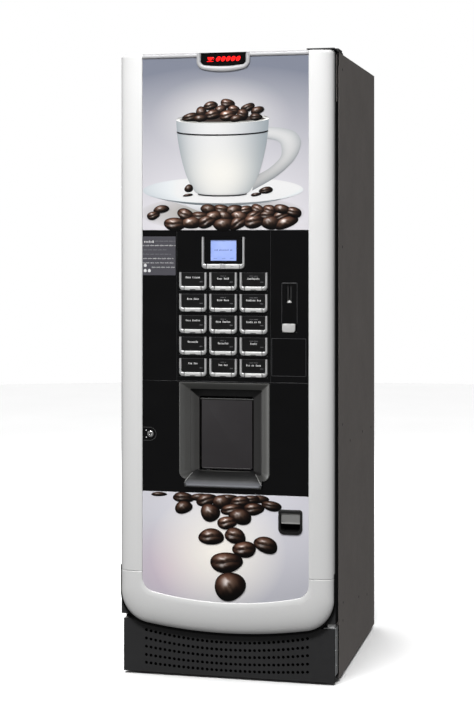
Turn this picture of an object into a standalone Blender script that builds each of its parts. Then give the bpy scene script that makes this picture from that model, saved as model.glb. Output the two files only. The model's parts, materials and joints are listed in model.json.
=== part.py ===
"""Free-standing hot-drinks vending machine: cabinet, hinged door, keys, hatch, coin parts and works.

Metres, +Z up. The origin is on the floor under the middle of the machine, and the door faces -Y.
"""
import math

import bmesh
import bpy
from mathutils import Matrix, Vector

# ---------------------------------------------------------------- driving dimensions
HALF_WIDTH = 0.300          # outer face of a side panel
FRONT = -0.367              # front edge of the scoop, the foremost point
BACK = 0.367                # rear edge of the side panels
BODY_TOP = 1.695
PANEL_BOTTOM = 0.0085
SHEET = 0.002
GAP = 0.0003                # clearance between touching pieces

DOOR_Y = FRONT + 0.014      # face of the fascia and the picture panels
CABINET_FRONT = DOOR_Y + 0.076
PAN_FRONT = DOOR_Y + 0.026  # front skin of the door pan
PAN_SKIN = 0.0015
PAN_BACK = CABINET_FRONT - 0.006
PAN_HALF = 0.2975
PAN_Z = (0.165, 1.690)
BEHIND_PAN = PAN_FRONT + PAN_SKIN + 0.0005

HINGE = Vector((0.285, -0.300, 0.0))   # vertical axis of the door
HINGE_PIN_R = 0.004

# silver U round the door: inner and outer outline of the moulding
MOULD_INNER = {"half": 0.2300, "bottom": 0.2140, "bow": 0.950, "corner": 0.038}
MOULD_OUTER = {"half": 0.2955, "bottom": 0.1262, "bow": 1.350, "corner": 0.088}
MOULD_SEAM = 0.288
MOULD_HEIGHT = 0.0285       # crest above the mouldings' back
MOULD_BACK = PAN_FRONT - GAP
MOULD_POWER = 2.6           # squareness of the moulding's round shoulder
WINDOW_TOP = 1.6818
WINDOW_HALF = MOULD_INNER["half"] - GAP

FASCIA_Z = (0.5073, 1.2163)
FASCIA_SPLIT = 0.8090       # joint between the upper fascias and the lower one
FASCIA_T = 0.003
FASCIA_JOINT = (-0.1330, 0.1262)
JOINT_GAP = 0.0005

KEY_X = -0.0035             # middle of the keypad
KEY_PITCH = (0.0839, 0.0581)
KEY_SIZE = (0.0762, 0.0482)
KEY_TOP = 1.1023            # top edge of the upper row
KEY_ROWS, KEY_COLUMNS = 5, 3
KEY_BUTTON = (0.0470, 0.0108)
KEY_ARM = 0.0060
KEY_CORNER = 0.011
DISPLAY_SIZE = (0.1186, 0.0857)
DISPLAY_TOP = 1.1976
DISPLAY_BUTTON = (0.0395, 0.0130)
DISPLAY_BUTTON_X = (-0.0255, 0.0255)
SCREEN_SIZE = (0.0715, 0.0554)
SCREEN_TOP = 1.1893
RIDGE_PROUD = 0.0055        # silver ridges above the fascia
BUTTON_PROUD = 0.0065
KEY_PLATE_Y = (DOOR_Y + FASCIA_T + 0.0005, DOOR_Y + FASCIA_T + 0.0030)
BUTTON_BACK = KEY_PLATE_Y[1] + 0.0018

BEZEL_X = (-0.1255, 0.1245)
BEZEL_Z = (0.5440, 0.8060)
HATCH_HALF = 0.0745         # inner opening of the delivery bezel
HATCH_Z = (0.5660, 0.7665)
HATCH_Y = DOOR_Y + 0.020
FLAP_HALF = 0.0705
FLAP_Z = (0.5700, 0.7620)
FLAP_AXIS = (HATCH_Y + 0.0075, 0.7575)
SCOOP_LIP_Z = 0.5230
COMPARTMENT_HALF = 0.085
COMPARTMENT_Z = (0.545, 0.790)
COMPARTMENT_BACK = -0.213

COIN_ENTRY_X = (0.1577, 0.1979)
COIN_ENTRY_Z = (0.9669, 1.0750)
RECESS_X = (0.1695, 0.1848)   # sunk field round the coin slot
RECESS_Z = (1.0220, 1.0710)
SLOT_X = (0.1740, 0.1803)
SLOT_Z = (1.0300, 1.0685)
REJECT_X = (0.1581, 0.1946)
REJECT_Z = (0.9436, 0.9664)
CUP_X = (0.1478, 0.2131)    # coin return cup
CUP_Z = (0.4040, 0.4708)
CUP_FLAP_X = (0.1548, 0.2062)
CUP_FLAP_Z = (0.4330, 0.4625)
LOCK = (-0.2071, 0.6630)
LOCK_R = 0.0085

KICK_HALF = 0.2937
KICK_Z = (0.0064, 0.1500)
KICK_Y = DOOR_Y + 0.033
BASE_TOP = 0.1500

CAROUSEL = (-0.155, -0.070)  # axis of the cup carousel
CAROUSEL_Z = (1.078, 1.640)
CUP_STACKS = 5
SHELF_Z = 1.070
PANEL_Y = 0.215             # equipment panel

FINISHES = {                # base colour, metallic, roughness
    "silver": ((0.80, 0.80, 0.80), 0.85, 0.30),
    "galvanised": ((0.62, 0.64, 0.65), 1.0, 0.40),
    "steel": ((0.70, 0.70, 0.69), 1.0, 0.30),
    "warm_grey": ((0.075, 0.068, 0.062), 0.0, 0.45),
    "dark_grey": ((0.022, 0.022, 0.023), 0.0, 0.50),
    "gloss_black": ((0.004, 0.004, 0.005), 0.0, 0.08),
    "matt_black": ((0.010, 0.010, 0.010), 0.0, 0.60),
    "smoked": ((0.030, 0.029, 0.030), 0.0, 0.12),
    "grey_plastic": ((0.30, 0.30, 0.31), 0.0, 0.45),
    "white_plastic": ((0.75, 0.75, 0.73), 0.0, 0.45),
    "picture": ((0.62, 0.60, 0.66), 0.0, 0.20),
    "screen": ((0.35, 0.42, 0.90), 0.0, 0.15),
    "cup_paper": ((0.80, 0.77, 0.70), 0.0, 0.65),
    "clear_amber": ((0.32, 0.20, 0.10), 0.0, 0.15),
}


# ---------------------------------------------------------------- helpers
def clear_scene():
    for item in list(bpy.data.objects):
        bpy.data.objects.remove(item, do_unlink=True)


def finish_material(item, finish):
    colour, metallic, roughness = FINISHES[finish]
    material = bpy.data.materials.new(f"{item.name}_{finish}")
    material.use_nodes = True
    shader = material.node_tree.nodes["Principled BSDF"]
    shader.inputs["Base Color"].default_value = (*colour, 1.0)
    shader.inputs["Metallic"].default_value = metallic
    shader.inputs["Roughness"].default_value = roughness
    item.data.materials.clear()
    item.data.materials.append(material)


def link_object(name, mesh, finish=None):
    item = bpy.data.objects.new(name, mesh)
    bpy.context.scene.collection.objects.link(item)
    if finish:
        finish_material(item, finish)
    return item


def mesh_from(bm, name, smooth_angle=None):
    """Close the bmesh into a mesh with its faces pointing out."""
    bmesh.ops.recalc_face_normals(bm, faces=bm.faces)
    mesh = bpy.data.meshes.new(name)
    bm.to_mesh(mesh)
    bm.free()
    if smooth_angle:
        mesh.shade_smooth()
        mesh.set_sharp_from_angle(angle=math.radians(smooth_angle))
    return mesh


def add_box(bm, x, y, z):
    corners = [bm.verts.new((i, j, k)) for k in z for j in y for i in x]
    for face in ((0, 1, 3, 2), (4, 6, 7, 5), (0, 4, 5, 1), (2, 3, 7, 6), (0, 2, 6, 4), (1, 5, 7, 3)):
        bm.faces.new([corners[i] for i in face])


def box(name, x, y, z, finish=None):
    bm = bmesh.new()
    add_box(bm, x, y, z)
    return link_object(name, mesh_from(bm, name), finish)


def boxes(name, spans):
    """Several separate boxes in one mesh, for a cutter."""
    bm = bmesh.new()
    for x, y, z in spans:
        add_box(bm, x, y, z)
    return link_object(name, mesh_from(bm, name))


PLANES = {                  # where an outline's two coordinates and its depth go
    "X": lambda u, v, w: (w, u, v),
    "Y": lambda u, v, w: (u, w, v),
    "Z": lambda u, v, w: (u, v, w),
}


def add_prism(bm, outline, axis, low, high):
    place = PLANES[axis]
    rings = [[bm.verts.new(place(u, v, w)) for u, v in outline] for w in (low, high)]
    bm.faces.new(rings[0])
    bm.faces.new(list(reversed(rings[1])))
    count = len(outline)
    for i in range(count):
        j = (i + 1) % count
        bm.faces.new((rings[0][i], rings[1][i], rings[1][j], rings[0][j]))


def prism(name, outline, axis, low, high, finish=None, smooth_angle=None):
    bm = bmesh.new()
    add_prism(bm, outline, axis, low, high)
    return link_object(name, mesh_from(bm, name, smooth_angle), finish)


def circle(centre, radius, segments, start=0.0):
    return [(centre[0] + radius * math.cos(start + math.tau * i / segments),
             centre[1] + radius * math.sin(start + math.tau * i / segments)) for i in range(segments)]


def rounded_rect(x, z, radii, steps=4):
    """Rectangle with a radius for each corner: lower left, lower right, upper right, upper left."""
    corners = ((x[0], z[0]), (x[1], z[0]), (x[1], z[1]), (x[0], z[1]))
    signs = ((1, 1), (-1, 1), (-1, -1), (1, -1))
    points = []
    for index, (corner, sign, radius) in enumerate(zip(corners, signs, radii)):
        if radius == 0:
            points.append(corner)
            continue
        centre = (corner[0] + sign[0] * radius, corner[1] + sign[1] * radius)
        start = math.pi + index * math.pi / 2
        for i in range(steps + 1):
            angle = start + math.pi / 2 * i / steps
            points.append((centre[0] + radius * math.cos(angle), centre[1] + radius * math.sin(angle)))
    return points


def cylinder(name, centre, axis, radius, low, high, segments=20, finish=None):
    return prism(name, circle(centre, radius, segments), axis, low, high, finish, 40)


def turned(name, centre, profile, segments=24, finish=None):
    """Closed body turned about a vertical axis; the profile is (radius, height) from axis to axis."""
    bm = bmesh.new()
    rings = []
    for radius, height in profile:
        if radius == 0:
            rings.append([bm.verts.new((centre[0], centre[1], height))])
        else:
            rings.append([bm.verts.new((x, y, height)) for x, y in circle(centre, radius, segments)])
    for lower, upper in zip(rings, rings[1:]):
        for i in range(segments):
            j = (i + 1) % segments
            corners = [lower[i % len(lower)], lower[j % len(lower)], upper[j % len(upper)],
                       upper[i % len(upper)]]
            face = list(dict.fromkeys(corners))
            bm.faces.new(face)
    return link_object(name, mesh_from(bm, name, 40), finish)


def boolean(target, tool, operation):
    tool.hide_render = True
    tool.display_type = "WIRE"
    modifier = target.modifiers.new(f"{operation.lower()}_{tool.name}", "BOOLEAN")
    modifier.operation = operation
    modifier.solver = "EXACT"
    modifier.object = tool


def cut(target, tool):
    boolean(target, tool, "DIFFERENCE")


def add(target, tool):
    boolean(target, tool, "UNION")


def set_origin(item, point):
    """Move the object's origin to point and leave its shape where it is."""
    point = Vector(point)
    item.data.transform(Matrix.Translation(-point))
    item.location = point


def tray(name, x, y, z, wall, open_side, finish):
    """Box with one open side, as one body. open_side is "-Y", "+Y" or "+Z"."""
    item = box(name, x, y, z, finish)
    inner = {"x": [x[0] + wall, x[1] - wall], "y": [y[0] + wall, y[1] - wall],
             "z": [z[0] + wall, z[1] - wall]}
    key = open_side[1].lower()
    inner[key][0 if open_side[0] == "-" else 1] += -0.02 if open_side[0] == "-" else 0.02
    cut(item, box(f"tool_{name}_inside", inner["x"], inner["y"], inner["z"]))
    return item


# ---------------------------------------------------------------- moulding outlines
def u_outline(shape, top, steps):
    """U from upper left, down, round the bowed bottom and up to upper right, as (x, z) points."""
    half, corner, bow = shape["half"], shape["corner"], shape["bow"]
    bow_centre = shape["bottom"] + bow
    fillet_x = half - corner
    fillet_z = bow_centre - math.sqrt((bow - corner) ** 2 - fillet_x ** 2)
    tangent = math.atan2(fillet_x, bow_centre - fillet_z)
    right = []
    for i in range(1, steps + 1):                   # bowed bottom, middle to fillet
        angle = tangent * i / steps
        right.append((bow * math.sin(angle), bow_centre - bow * math.cos(angle)))
    for i in range(1, steps + 1):                   # fillet
        angle = tangent + (math.pi / 2 - tangent) * i / steps
        right.append((fillet_x + corner * math.sin(angle), fillet_z - corner * math.cos(angle)))
    right.append((half, top))
    left = [(-x, z) for x, z in reversed(right)]
    return left + [(0.0, shape["bottom"])] + right


def moulding_y(share):
    """Front of the moulding from its inner edge (0) to its outer edge (1)."""
    return MOULD_BACK - MOULD_HEIGHT * (1.0 - share ** MOULD_POWER) ** (1.0 / MOULD_POWER)


MOULD_SHARES = (0.0, 0.35, 0.60, 0.78, 0.90, 0.97, 0.995, 1.0)


def moulding_section():
    """Cross-section as (share across, y): front face, then the flat back."""
    front = [(share, moulding_y(share)) for share in MOULD_SHARES[:-1]]
    return front + [(1.0, MOULD_BACK - 0.0015), (1.0, MOULD_BACK), (0.0, MOULD_BACK)]


def side_moulding(name, side):
    inner, outer = MOULD_INNER["half"], MOULD_OUTER["half"]
    outline = [(side * (inner + (outer - inner) * share), y) for share, y in moulding_section()]
    item = prism(name, outline, "Z", MOULD_SEAM + GAP, BODY_TOP, "silver", 35)
    return item


def bottom_moulding():
    steps = 8
    inner = u_outline(MOULD_INNER, MOULD_SEAM - GAP, steps)
    outer = u_outline(MOULD_OUTER, MOULD_SEAM - GAP, steps)
    section = moulding_section()
    bm = bmesh.new()
    rings = []
    for (xi, zi), (xo, zo) in zip(inner, outer):
        rings.append([bm.verts.new((xi + (xo - xi) * s, y, zi + (zo - zi) * s)) for s, y in section])
    count = len(section)
    for first, second in zip(rings, rings[1:]):
        for i in range(count):
            j = (i + 1) % count
            bm.faces.new((first[i], first[j], second[j], second[i]))
    bm.faces.new(rings[0])
    bm.faces.new(list(reversed(rings[-1])))
    return link_object("bottom_moulding", mesh_from(bm, "bottom_moulding", 35), "silver")


# ---------------------------------------------------------------- cabinet
def side_panel(name, side):
    item = box(name, sorted((side * (HALF_WIDTH - SHEET), side * HALF_WIDTH)), (CABINET_FRONT, BACK),
               (PANEL_BOTTOM, BODY_TOP), "warm_grey")
    inside = HALF_WIDTH - SHEET / 2
    for label, depth, y, z in (("front", 0.016, CABINET_FRONT, (0.153, 1.660)),
                               ("rear", 0.012, BACK - 0.0085, (0.153, 1.688))):
        x = sorted((side * (HALF_WIDTH - SHEET - depth), side * inside))
        add(item, box(f"tool_{name}_{label}", x, (y, y + SHEET), z))
    return item


def top_panel():
    half = HALF_WIDTH - SHEET - GAP
    item = box("top_panel", (-half, half), (CABINET_FRONT, BACK - 0.003), (1.6915, 1.6935), "warm_grey")
    add(item, box("tool_top_flange", (-0.281, 0.281), (CABINET_FRONT, CABINET_FRONT + SHEET),
                  (1.665, 1.6925)))
    return item


def back_panel():
    half = HALF_WIDTH - SHEET - GAP
    y = (BACK - 0.0060, BACK - 0.0040)
    item = box("back_panel", (-half, half), y, (0.020, 1.690), "galvanised")
    vents = [((x, x + 0.090), (y[0] - 0.01, y[1] + 0.01), (z, z + 0.006))
             for x in (-0.200, -0.045, 0.110) for z in (1.500, 1.520, 1.540, 1.560)]
    cut(item, boxes("tool_back_vents", vents))
    add(item, box("tool_mains_inlet", (0.176, 0.224), (y[0] - 0.024, y[0] + 0.001), (0.196, 0.232)))
    cut(item, box("tool_mains_recess", (0.182, 0.218), (y[0] - 0.018, y[1] + 0.01), (0.202, 0.226)))
    add(item, cylinder("tool_water_inlet", (0.110, 0.214), "Y", 0.010, y[0] + 0.001, BACK - 0.0005, 16))
    return item


def base_frame():
    x = (-KICK_HALF + 0.0002, KICK_HALF - 0.0002)
    y = (KICK_Y + 0.0225, 0.3560)
    item = box("base_frame", x, y, (0.0140, BASE_TOP), "galvanised")
    cut(item, box("tool_base_inside", (x[0] + SHEET, x[1] - SHEET), (y[0] + SHEET, y[1] - SHEET),
                  (-0.010, BASE_TOP - SHEET)))
    for i, (fx, fy) in enumerate((sx * 0.245, sy) for sx in (-1, 1) for sy in (-0.245, 0.305)):
        foot = turned(f"tool_foot_{i}", (fx, fy), ((0, 0.0), (0.022, 0.0), (0.024, 0.004), (0.016, 0.012),
                                                   (0.008, 0.014), (0.008, BASE_TOP - 0.001),
                                                   (0, BASE_TOP - 0.001)), 16)
        add(item, foot)
    return item


def kick_plate():
    item = box("kick_plate", (-KICK_HALF, KICK_HALF), (KICK_Y, KICK_Y + 0.0220), KICK_Z, "dark_grey")
    cut(item, box("tool_kick_inside", (-KICK_HALF + SHEET, KICK_HALF - SHEET),
                  (KICK_Y + SHEET, KICK_Y + 0.03),
                  (KICK_Z[0] + SHEET, KICK_Z[1] - SHEET)))
    return item


def hinge_brackets():
    top = prism("top_hinge_plate", ((0.222, -0.342), (0.297, -0.342), (0.297, -0.200), (0.252, -0.200)),
                "Z",
                1.6970, 1.7005, "dark_grey")
    add(top, box("tool_hinge_block", (0.281, 0.299), (-0.290, -0.228), (1.6955, 1.7045)))
    add(top, cylinder("tool_top_pin", HINGE.xy, "Z", HINGE_PIN_R, 1.6800, 1.6980, 16))
    add(top, box("tool_hinge_foot", (0.256, 0.292), (-0.262, -0.205), (1.6938, 1.6980)))
    bottom = box("bottom_hinge_bracket", (0.2940, 0.2960), (KICK_Y + 0.004, CABINET_FRONT - 0.0015),
                 (0.025, 0.1515), "galvanised")
    add(bottom, box("tool_ear", (0.264, 0.2960), (KICK_Y + 0.002, CABINET_FRONT - 0.0015),
                    (BASE_TOP + GAP, 0.1530)))
    add(bottom, cylinder("tool_bush", HINGE.xy, "Z", 0.0090, 0.1520, PAN_Z[0] - 0.0005, 16))
    add(bottom, cylinder("tool_bottom_pin", HINGE.xy, "Z", HINGE_PIN_R, 0.1600, PAN_Z[0] + 0.0100, 16))
    return top, bottom


# ---------------------------------------------------------------- works inside the cabinet
def equipment_panel():
    half = HALF_WIDTH - SHEET - 2 * GAP
    item = box("equipment_panel", (-half, half), (PANEL_Y, PANEL_Y + SHEET), (BASE_TOP + GAP, 1.640),
               "galvanised")
    add(item, box("tool_shelf", (-half, half), (-0.200, PANEL_Y + 0.001), (SHELF_Z, SHELF_Z + SHEET)))
    slots = [((x, x + 0.060), (PANEL_Y - 0.01, PANEL_Y + 0.01), (z, z + 0.030))
             for x in (-0.240, 0.180) for z in (0.580, 1.260)]
    cut(item, boxes("tool_panel_slots", slots))
    cut(item, box("tool_cup_drop", (-0.110, -0.020), (-0.190, -0.100), (SHELF_Z - 0.01, SHELF_Z + 0.01)))
    return item


def bean_hopper():
    x, y, z = (0.010, 0.270), (-0.190, 0.100), (1.280, 1.500)
    bm = bmesh.new()

    def ring(inset_x, inset_y, height):
        return [bm.verts.new((i, j, height)) for i, j in
                ((x[0] + inset_x, y[0] + inset_y), (x[1] - inset_x, y[0] + inset_y),
                 (x[1] - inset_x, y[1] - inset_y), (x[0] + inset_x, y[1] - inset_y))]

    wall = 0.003
    loops = [ring(0.100, 0.115, z[0]), ring(0, 0, z[0] + 0.090), ring(0, 0, z[1]),
             ring(wall, wall, z[1]), ring(wall, wall, z[0] + 0.090), ring(0.100 + wall, 0.115 + wall, z[0])]
    for lower, upper in zip(loops, loops[1:] + loops[:1]):
        for i in range(4):
            j = (i + 1) % 4
            bm.faces.new((lower[i], lower[j], upper[j], upper[i]))
    hopper = link_object("bean_hopper", mesh_from(bm, "bean_hopper"), "clear_amber")
    lid = box("hopper_lid", (x[0] - 0.003, x[1] + 0.003), (y[0] - 0.003, y[1] + 0.003),
              (z[1] + GAP, z[1] + 0.004),
              "matt_black")
    add(lid, cylinder("tool_lid_barrel", (y[1] + 0.004, z[1] + 0.004), "X", 0.0035, x[0] + 0.02,
                      x[1] - 0.02, 12))
    set_origin(lid, (0.0, y[1] + 0.004, z[1] + 0.004))
    return hopper, lid


def coffee_grinder():
    item = turned("coffee_grinder", (0.140, -0.045),
                  ((0, SHELF_Z + SHEET + GAP), (0.052, SHELF_Z + SHEET + GAP), (0.055, 1.082),
                   (0.055, 1.160),
                   (0.068, 1.175), (0.068, 1.235), (0.050, 1.250), (0.024, 1.2797), (0, 1.2797)), 24,
                   "matt_black")
    add(item, box("tool_grinder_chute", (0.122, 0.158), (-0.145, -0.080), (1.180, 1.225)))
    return item


def brew_unit():
    item = box("brew_unit", (0.060, 0.240), (0.010, PANEL_Y - GAP), (0.640, 0.900), "grey_plastic")
    add(item, cylinder("tool_brew_piston", (0.150, 0.080), "Z", 0.042, 0.890, 1.020, 20))
    add(item, cylinder("tool_brew_gear", (0.080, 0.770), "X", 0.050, 0.238, 0.258, 20))
    add(item, box("tool_brew_funnel", (0.115, 0.185), (-0.030, 0.020), (0.860, 0.895)))
    return item


def boiler():
    y = PANEL_Y + SHEET + 0.0700
    item = turned("boiler", (-0.150, y),
                  ((0, 0.700), (0.040, 0.704), (0.060, 0.722), (0.060, 0.940), (0.040, 0.958), (0, 0.962)),
                  24,
                  "steel")
    add(item, box("tool_boiler_strap", (-0.190, -0.110), (PANEL_Y + SHEET + GAP, y), (0.800, 0.830)))
    add(item, cylinder("tool_boiler_pipe", (-0.150, y), "Z", 0.006, 0.950, 1.000, 10))
    return item


def powder_canister(name, x):
    y, z = (-0.060, 0.180), (0.840, 1.040)
    item = tray(name, x, y, z, 0.003, "+Z", "white_plastic")
    middle = (x[0] + x[1]) / 2
    add(item, cylinder(f"tool_{name}_spout", (middle, z[0] + 0.022), "Y", 0.016, y[0] - 0.045, y[0] + 0.002,
                       16))
    return item


def mixer_unit():
    item = box("mixer_unit", (-0.270, -0.010), (-0.020, PANEL_Y - GAP), (0.660, 0.740), "grey_plastic")
    for i, x in enumerate((-0.205, -0.075)):
        bowl = turned(f"tool_bowl_{i}", (x, -0.080), ((0, 0.655), (0.020, 0.655), (0.046, 0.700),
                                                      (0.050, 0.760),
                                                     (0, 0.760)), 20)
        add(item, bowl)
        add(item, cylinder(f"tool_neck_{i}", (x, 0.700), "Y", 0.018, -0.060, -0.010, 16))
    return item


def cup_carousel():
    low, high = CAROUSEL_Z
    spindle = SHELF_Z + SHEET + GAP
    item = turned("cup_carousel", CAROUSEL, ((0, spindle), (0.020, spindle), (0.020, low), (0.112, low),
                                             (0.112, low + 0.006), (0.012, low + 0.006),
                                             (0.012, high - 0.006),
                                             (0.112, high - 0.006), (0.112, high), (0, high)), 32,
                                             "cup_paper")
    for i in range(CUP_STACKS):
        angle = math.tau * i / CUP_STACKS
        centre = (CAROUSEL[0] + 0.070 * math.cos(angle), CAROUSEL[1] + 0.070 * math.sin(angle))
        add(item, cylinder(f"tool_cup_stack_{i}", centre, "Z", 0.0355, low + 0.003, high - 0.003, 16))
    set_origin(item, (*CAROUSEL, 0.0))
    return item


def waste_bucket():
    return tray("waste_bucket", (-0.270, 0.080), (-0.240, 0.120), (BASE_TOP + GAP, 0.470), 0.003, "+Z",
                "matt_black")


def electronics_box():
    item = tray("electronics_box", (0.110, 0.290), (0.020, PANEL_Y - GAP), (0.240, 0.560), SHEET, "+Y",
                "galvanised")
    vents = [((0.130, 0.270), (0.010, 0.030), (z, z + 0.004)) for z in (0.300, 0.320, 0.340, 0.360)]
    cut(item, boxes("tool_box_vents", vents))
    return item


# ---------------------------------------------------------------- door structure
def door_pan():
    item = box("door_pan", (-PAN_HALF, PAN_HALF), (PAN_FRONT, PAN_BACK), PAN_Z, "dark_grey")
    cut(item, box("tool_pan_inside", (-PAN_HALF + PAN_SKIN, PAN_HALF - PAN_SKIN),
                  (PAN_FRONT + PAN_SKIN, PAN_BACK + 0.01), (PAN_Z[0] + PAN_SKIN, PAN_Z[1] - PAN_SKIN)))
    through = (PAN_FRONT - 0.01, PAN_FRONT + 0.01)
    windows = [((-0.128, 0.121), through, (0.818, 1.205)),
               ((-0.092, 0.092), through, (0.540, 0.796)),
               ((0.152, 0.204), through, (0.938, 1.080)),
               ((0.146, 0.215), through, (0.402, 0.474)),
               ((LOCK[0] - 0.011, LOCK[0] + 0.011), through, (LOCK[1] - 0.011, LOCK[1] + 0.011))]
    cut(item, boxes("tool_pan_windows", windows))
    for label, z in (("bottom", PAN_Z[0]), ("top", PAN_Z[1])):
        cut(item, cylinder(f"tool_pan_hole_{label}", HINGE.xy, "Z", HINGE_PIN_R + GAP, z - 0.012, z + 0.012,
                           16))
    return item


def top_rail():
    """Rail between the mouldings with the rounded badge bezel hanging from its middle."""
    half, badge, radius = WINDOW_HALF, 0.0735, 0.020
    tab = rounded_rect((KEY_X - badge, KEY_X + badge), (1.6426, WINDOW_TOP), (radius, radius, 0, 0))
    outline = [(-half, WINDOW_TOP)] + tab[-1:] + tab[:-1] + [(half, WINDOW_TOP), (half, BODY_TOP),
                                                             (-half, BODY_TOP)]
    item = prism("top_rail", outline, "Y", DOOR_Y - 0.0035, DOOR_Y - GAP, "silver")
    add(item, box("tool_rail_body", (-half, half), (DOOR_Y - 0.0020, MOULD_BACK),
                  (WINDOW_TOP + GAP, BODY_TOP)))
    return item


def light_panels():
    upper = box("upper_light_panel", (-WINDOW_HALF, WINDOW_HALF), (DOOR_Y, MOULD_BACK),
                (FASCIA_Z[1] + GAP, WINDOW_TOP - GAP), "picture")
    cut(upper, box("tool_upper_inside", (-WINDOW_HALF + 0.004, WINDOW_HALF - 0.004),
                   (DOOR_Y + 0.005, PAN_FRONT),
                   (FASCIA_Z[1] + 0.004, WINDOW_TOP - 0.004)))
    shape = dict(MOULD_INNER, half=WINDOW_HALF, bottom=MOULD_INNER["bottom"] + GAP)
    lower = prism("lower_light_panel", u_outline(shape, FASCIA_Z[0] - GAP, 8), "Y", DOOR_Y, DOOR_Y + 0.005,
                  "picture")
    cut(lower, box("tool_lower_cup", (0.1515, 0.2095), (DOOR_Y - 0.01, MOULD_BACK + 0.01),
                   (0.4075, 0.4675)))
    for i, (x, z) in enumerate(((-0.180, 0.480), (0.100, 0.480), (-0.150, 0.250), (0.150, 0.250))):
        add(lower, box(f"tool_lower_post_{i}", (x, x + 0.020), (DOOR_Y + 0.004, MOULD_BACK),
                       (z, z + 0.015)))
    return upper, lower


# ---------------------------------------------------------------- fascia, keys and display
def key_centres():
    for row in range(KEY_ROWS):
        for column in range(KEY_COLUMNS):
            x = KEY_X + (column - (KEY_COLUMNS - 1) / 2) * KEY_PITCH[0]
            yield row, column, x, KEY_TOP - row * KEY_PITCH[1]


def fascias():
    split = FASCIA_SPLIT + JOINT_GAP / 2
    y = (DOOR_Y, DOOR_Y + FASCIA_T)
    left_joint, right_joint = FASCIA_JOINT
    left = box("left_fascia", (-WINDOW_HALF, left_joint - JOINT_GAP), y, (split, FASCIA_Z[1]),
               "gloss_black")
    keypad = box("keypad_fascia", (left_joint, right_joint), y, (split, FASCIA_Z[1]), "gloss_black")
    right = box("right_fascia", (right_joint + JOINT_GAP, WINDOW_HALF), y, (split, FASCIA_Z[1]),
                "gloss_black")
    lower = box("lower_fascia", (-WINDOW_HALF, WINDOW_HALF), y, (FASCIA_Z[0], FASCIA_SPLIT - JOINT_GAP / 2),
                "gloss_black")
    through = (y[0] - 0.01, y[1] + 0.01)
    half_x, clear = KEY_SIZE[0] / 2, GAP
    windows = [((x - half_x - clear, x + half_x + clear), through, (top - KEY_SIZE[1] - clear, top + clear))
               for _, _, x, top in key_centres()]
    half_x = DISPLAY_SIZE[0] / 2
    windows.append(((KEY_X - half_x - clear, KEY_X + half_x + clear), through,
                    (DISPLAY_TOP - DISPLAY_SIZE[1] - clear, DISPLAY_TOP + clear)))
    cut(keypad, boxes("tool_key_windows", windows))
    cut(right, box("tool_coin_window", (COIN_ENTRY_X[0] - GAP, COIN_ENTRY_X[1] + GAP), through,
                   (REJECT_Z[0] - GAP, COIN_ENTRY_Z[1] + GAP)))
    x0, x1, z0, z1, _ = hatch_rect(0.15, DOOR_Y)
    cut(lower, box("tool_hatch_window", (x0, x1), through, (z0, z1)))
    cut(lower, cylinder("tool_lock_hole", LOCK, "Y", LOCK_R + 0.0005, *through, 20))
    return left, keypad, right, lower


def j_outline(centre_x, top, size, button_edge, side, bar):
    """Half of the U round a label: an arm and its rounded foot, up to the button's edge."""
    outer = centre_x + side * size[0] / 2
    low = top - size[1]
    points = [(outer, top)]
    for i in range(5):
        angle = math.pi / 2 * i / 4
        points.append((outer - side * KEY_CORNER * (1 - math.cos(angle)),
                       low + KEY_CORNER * (1 - math.sin(angle))))
    foot = centre_x + side * button_edge
    points += [(foot, low), (foot, low + bar), (outer - side * (KEY_ARM + 0.004), low + bar),
               (outer - side * KEY_ARM, low + bar + 0.004), (outer - side * KEY_ARM, top)]
    return points


def keypad_frame():
    """One moulding behind the fascia whose silver ridges stand through its windows."""
    low = FASCIA_SPLIT + 0.006
    item = box("keypad_frame", (-0.1305, 0.1235), KEY_PLATE_Y, (low, 1.2020), "silver")
    ridge_y = (DOOR_Y - RIDGE_PROUD, (KEY_PLATE_Y[0] + KEY_PLATE_Y[1]) / 2)
    half_button = KEY_BUTTON[0] / 2 + GAP
    bm = bmesh.new()
    slots = []
    through = (KEY_PLATE_Y[0] - 0.01, KEY_PLATE_Y[1] + 0.01)
    for _, _, x, top in key_centres():
        for side in (-1, 1):
            add_prism(bm, j_outline(x, top, KEY_SIZE, half_button, side, KEY_BUTTON[1]), "Y", *ridge_y)
        low = top - KEY_SIZE[1]
        slots.append(((x - half_button, x + half_button), through, (low - GAP, low + KEY_BUTTON[1] + GAP)))
    edge = DISPLAY_BUTTON_X[1] + DISPLAY_BUTTON[0] / 2 + GAP
    low = DISPLAY_TOP - DISPLAY_SIZE[1]
    for side in (-1, 1):
        add_prism(bm, j_outline(KEY_X, DISPLAY_TOP, DISPLAY_SIZE, edge, side, DISPLAY_BUTTON[1]), "Y",
                  *ridge_y)
        x = KEY_X + DISPLAY_BUTTON_X[(side + 1) // 2]
        half = DISPLAY_BUTTON[0] / 2 + GAP
        slots.append(((x - half, x + half), through, (low - GAP, low + DISPLAY_BUTTON[1] + GAP)))
    bridge = DISPLAY_BUTTON_X[1] - DISPLAY_BUTTON[0] / 2 - GAP
    add_box(bm, (KEY_X - bridge, KEY_X + bridge), ridge_y, (low, low + DISPLAY_BUTTON[1]))
    add(item, link_object("tool_ridges", mesh_from(bm, "tool_ridges")))
    half_x = SCREEN_SIZE[0] / 2 + 0.002
    slots.append(((KEY_X - half_x, KEY_X + half_x), through,
                  (SCREEN_TOP - SCREEN_SIZE[1] - 0.002, SCREEN_TOP + 0.002)))
    cut(item, boxes("tool_key_slots", slots))
    return item


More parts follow.
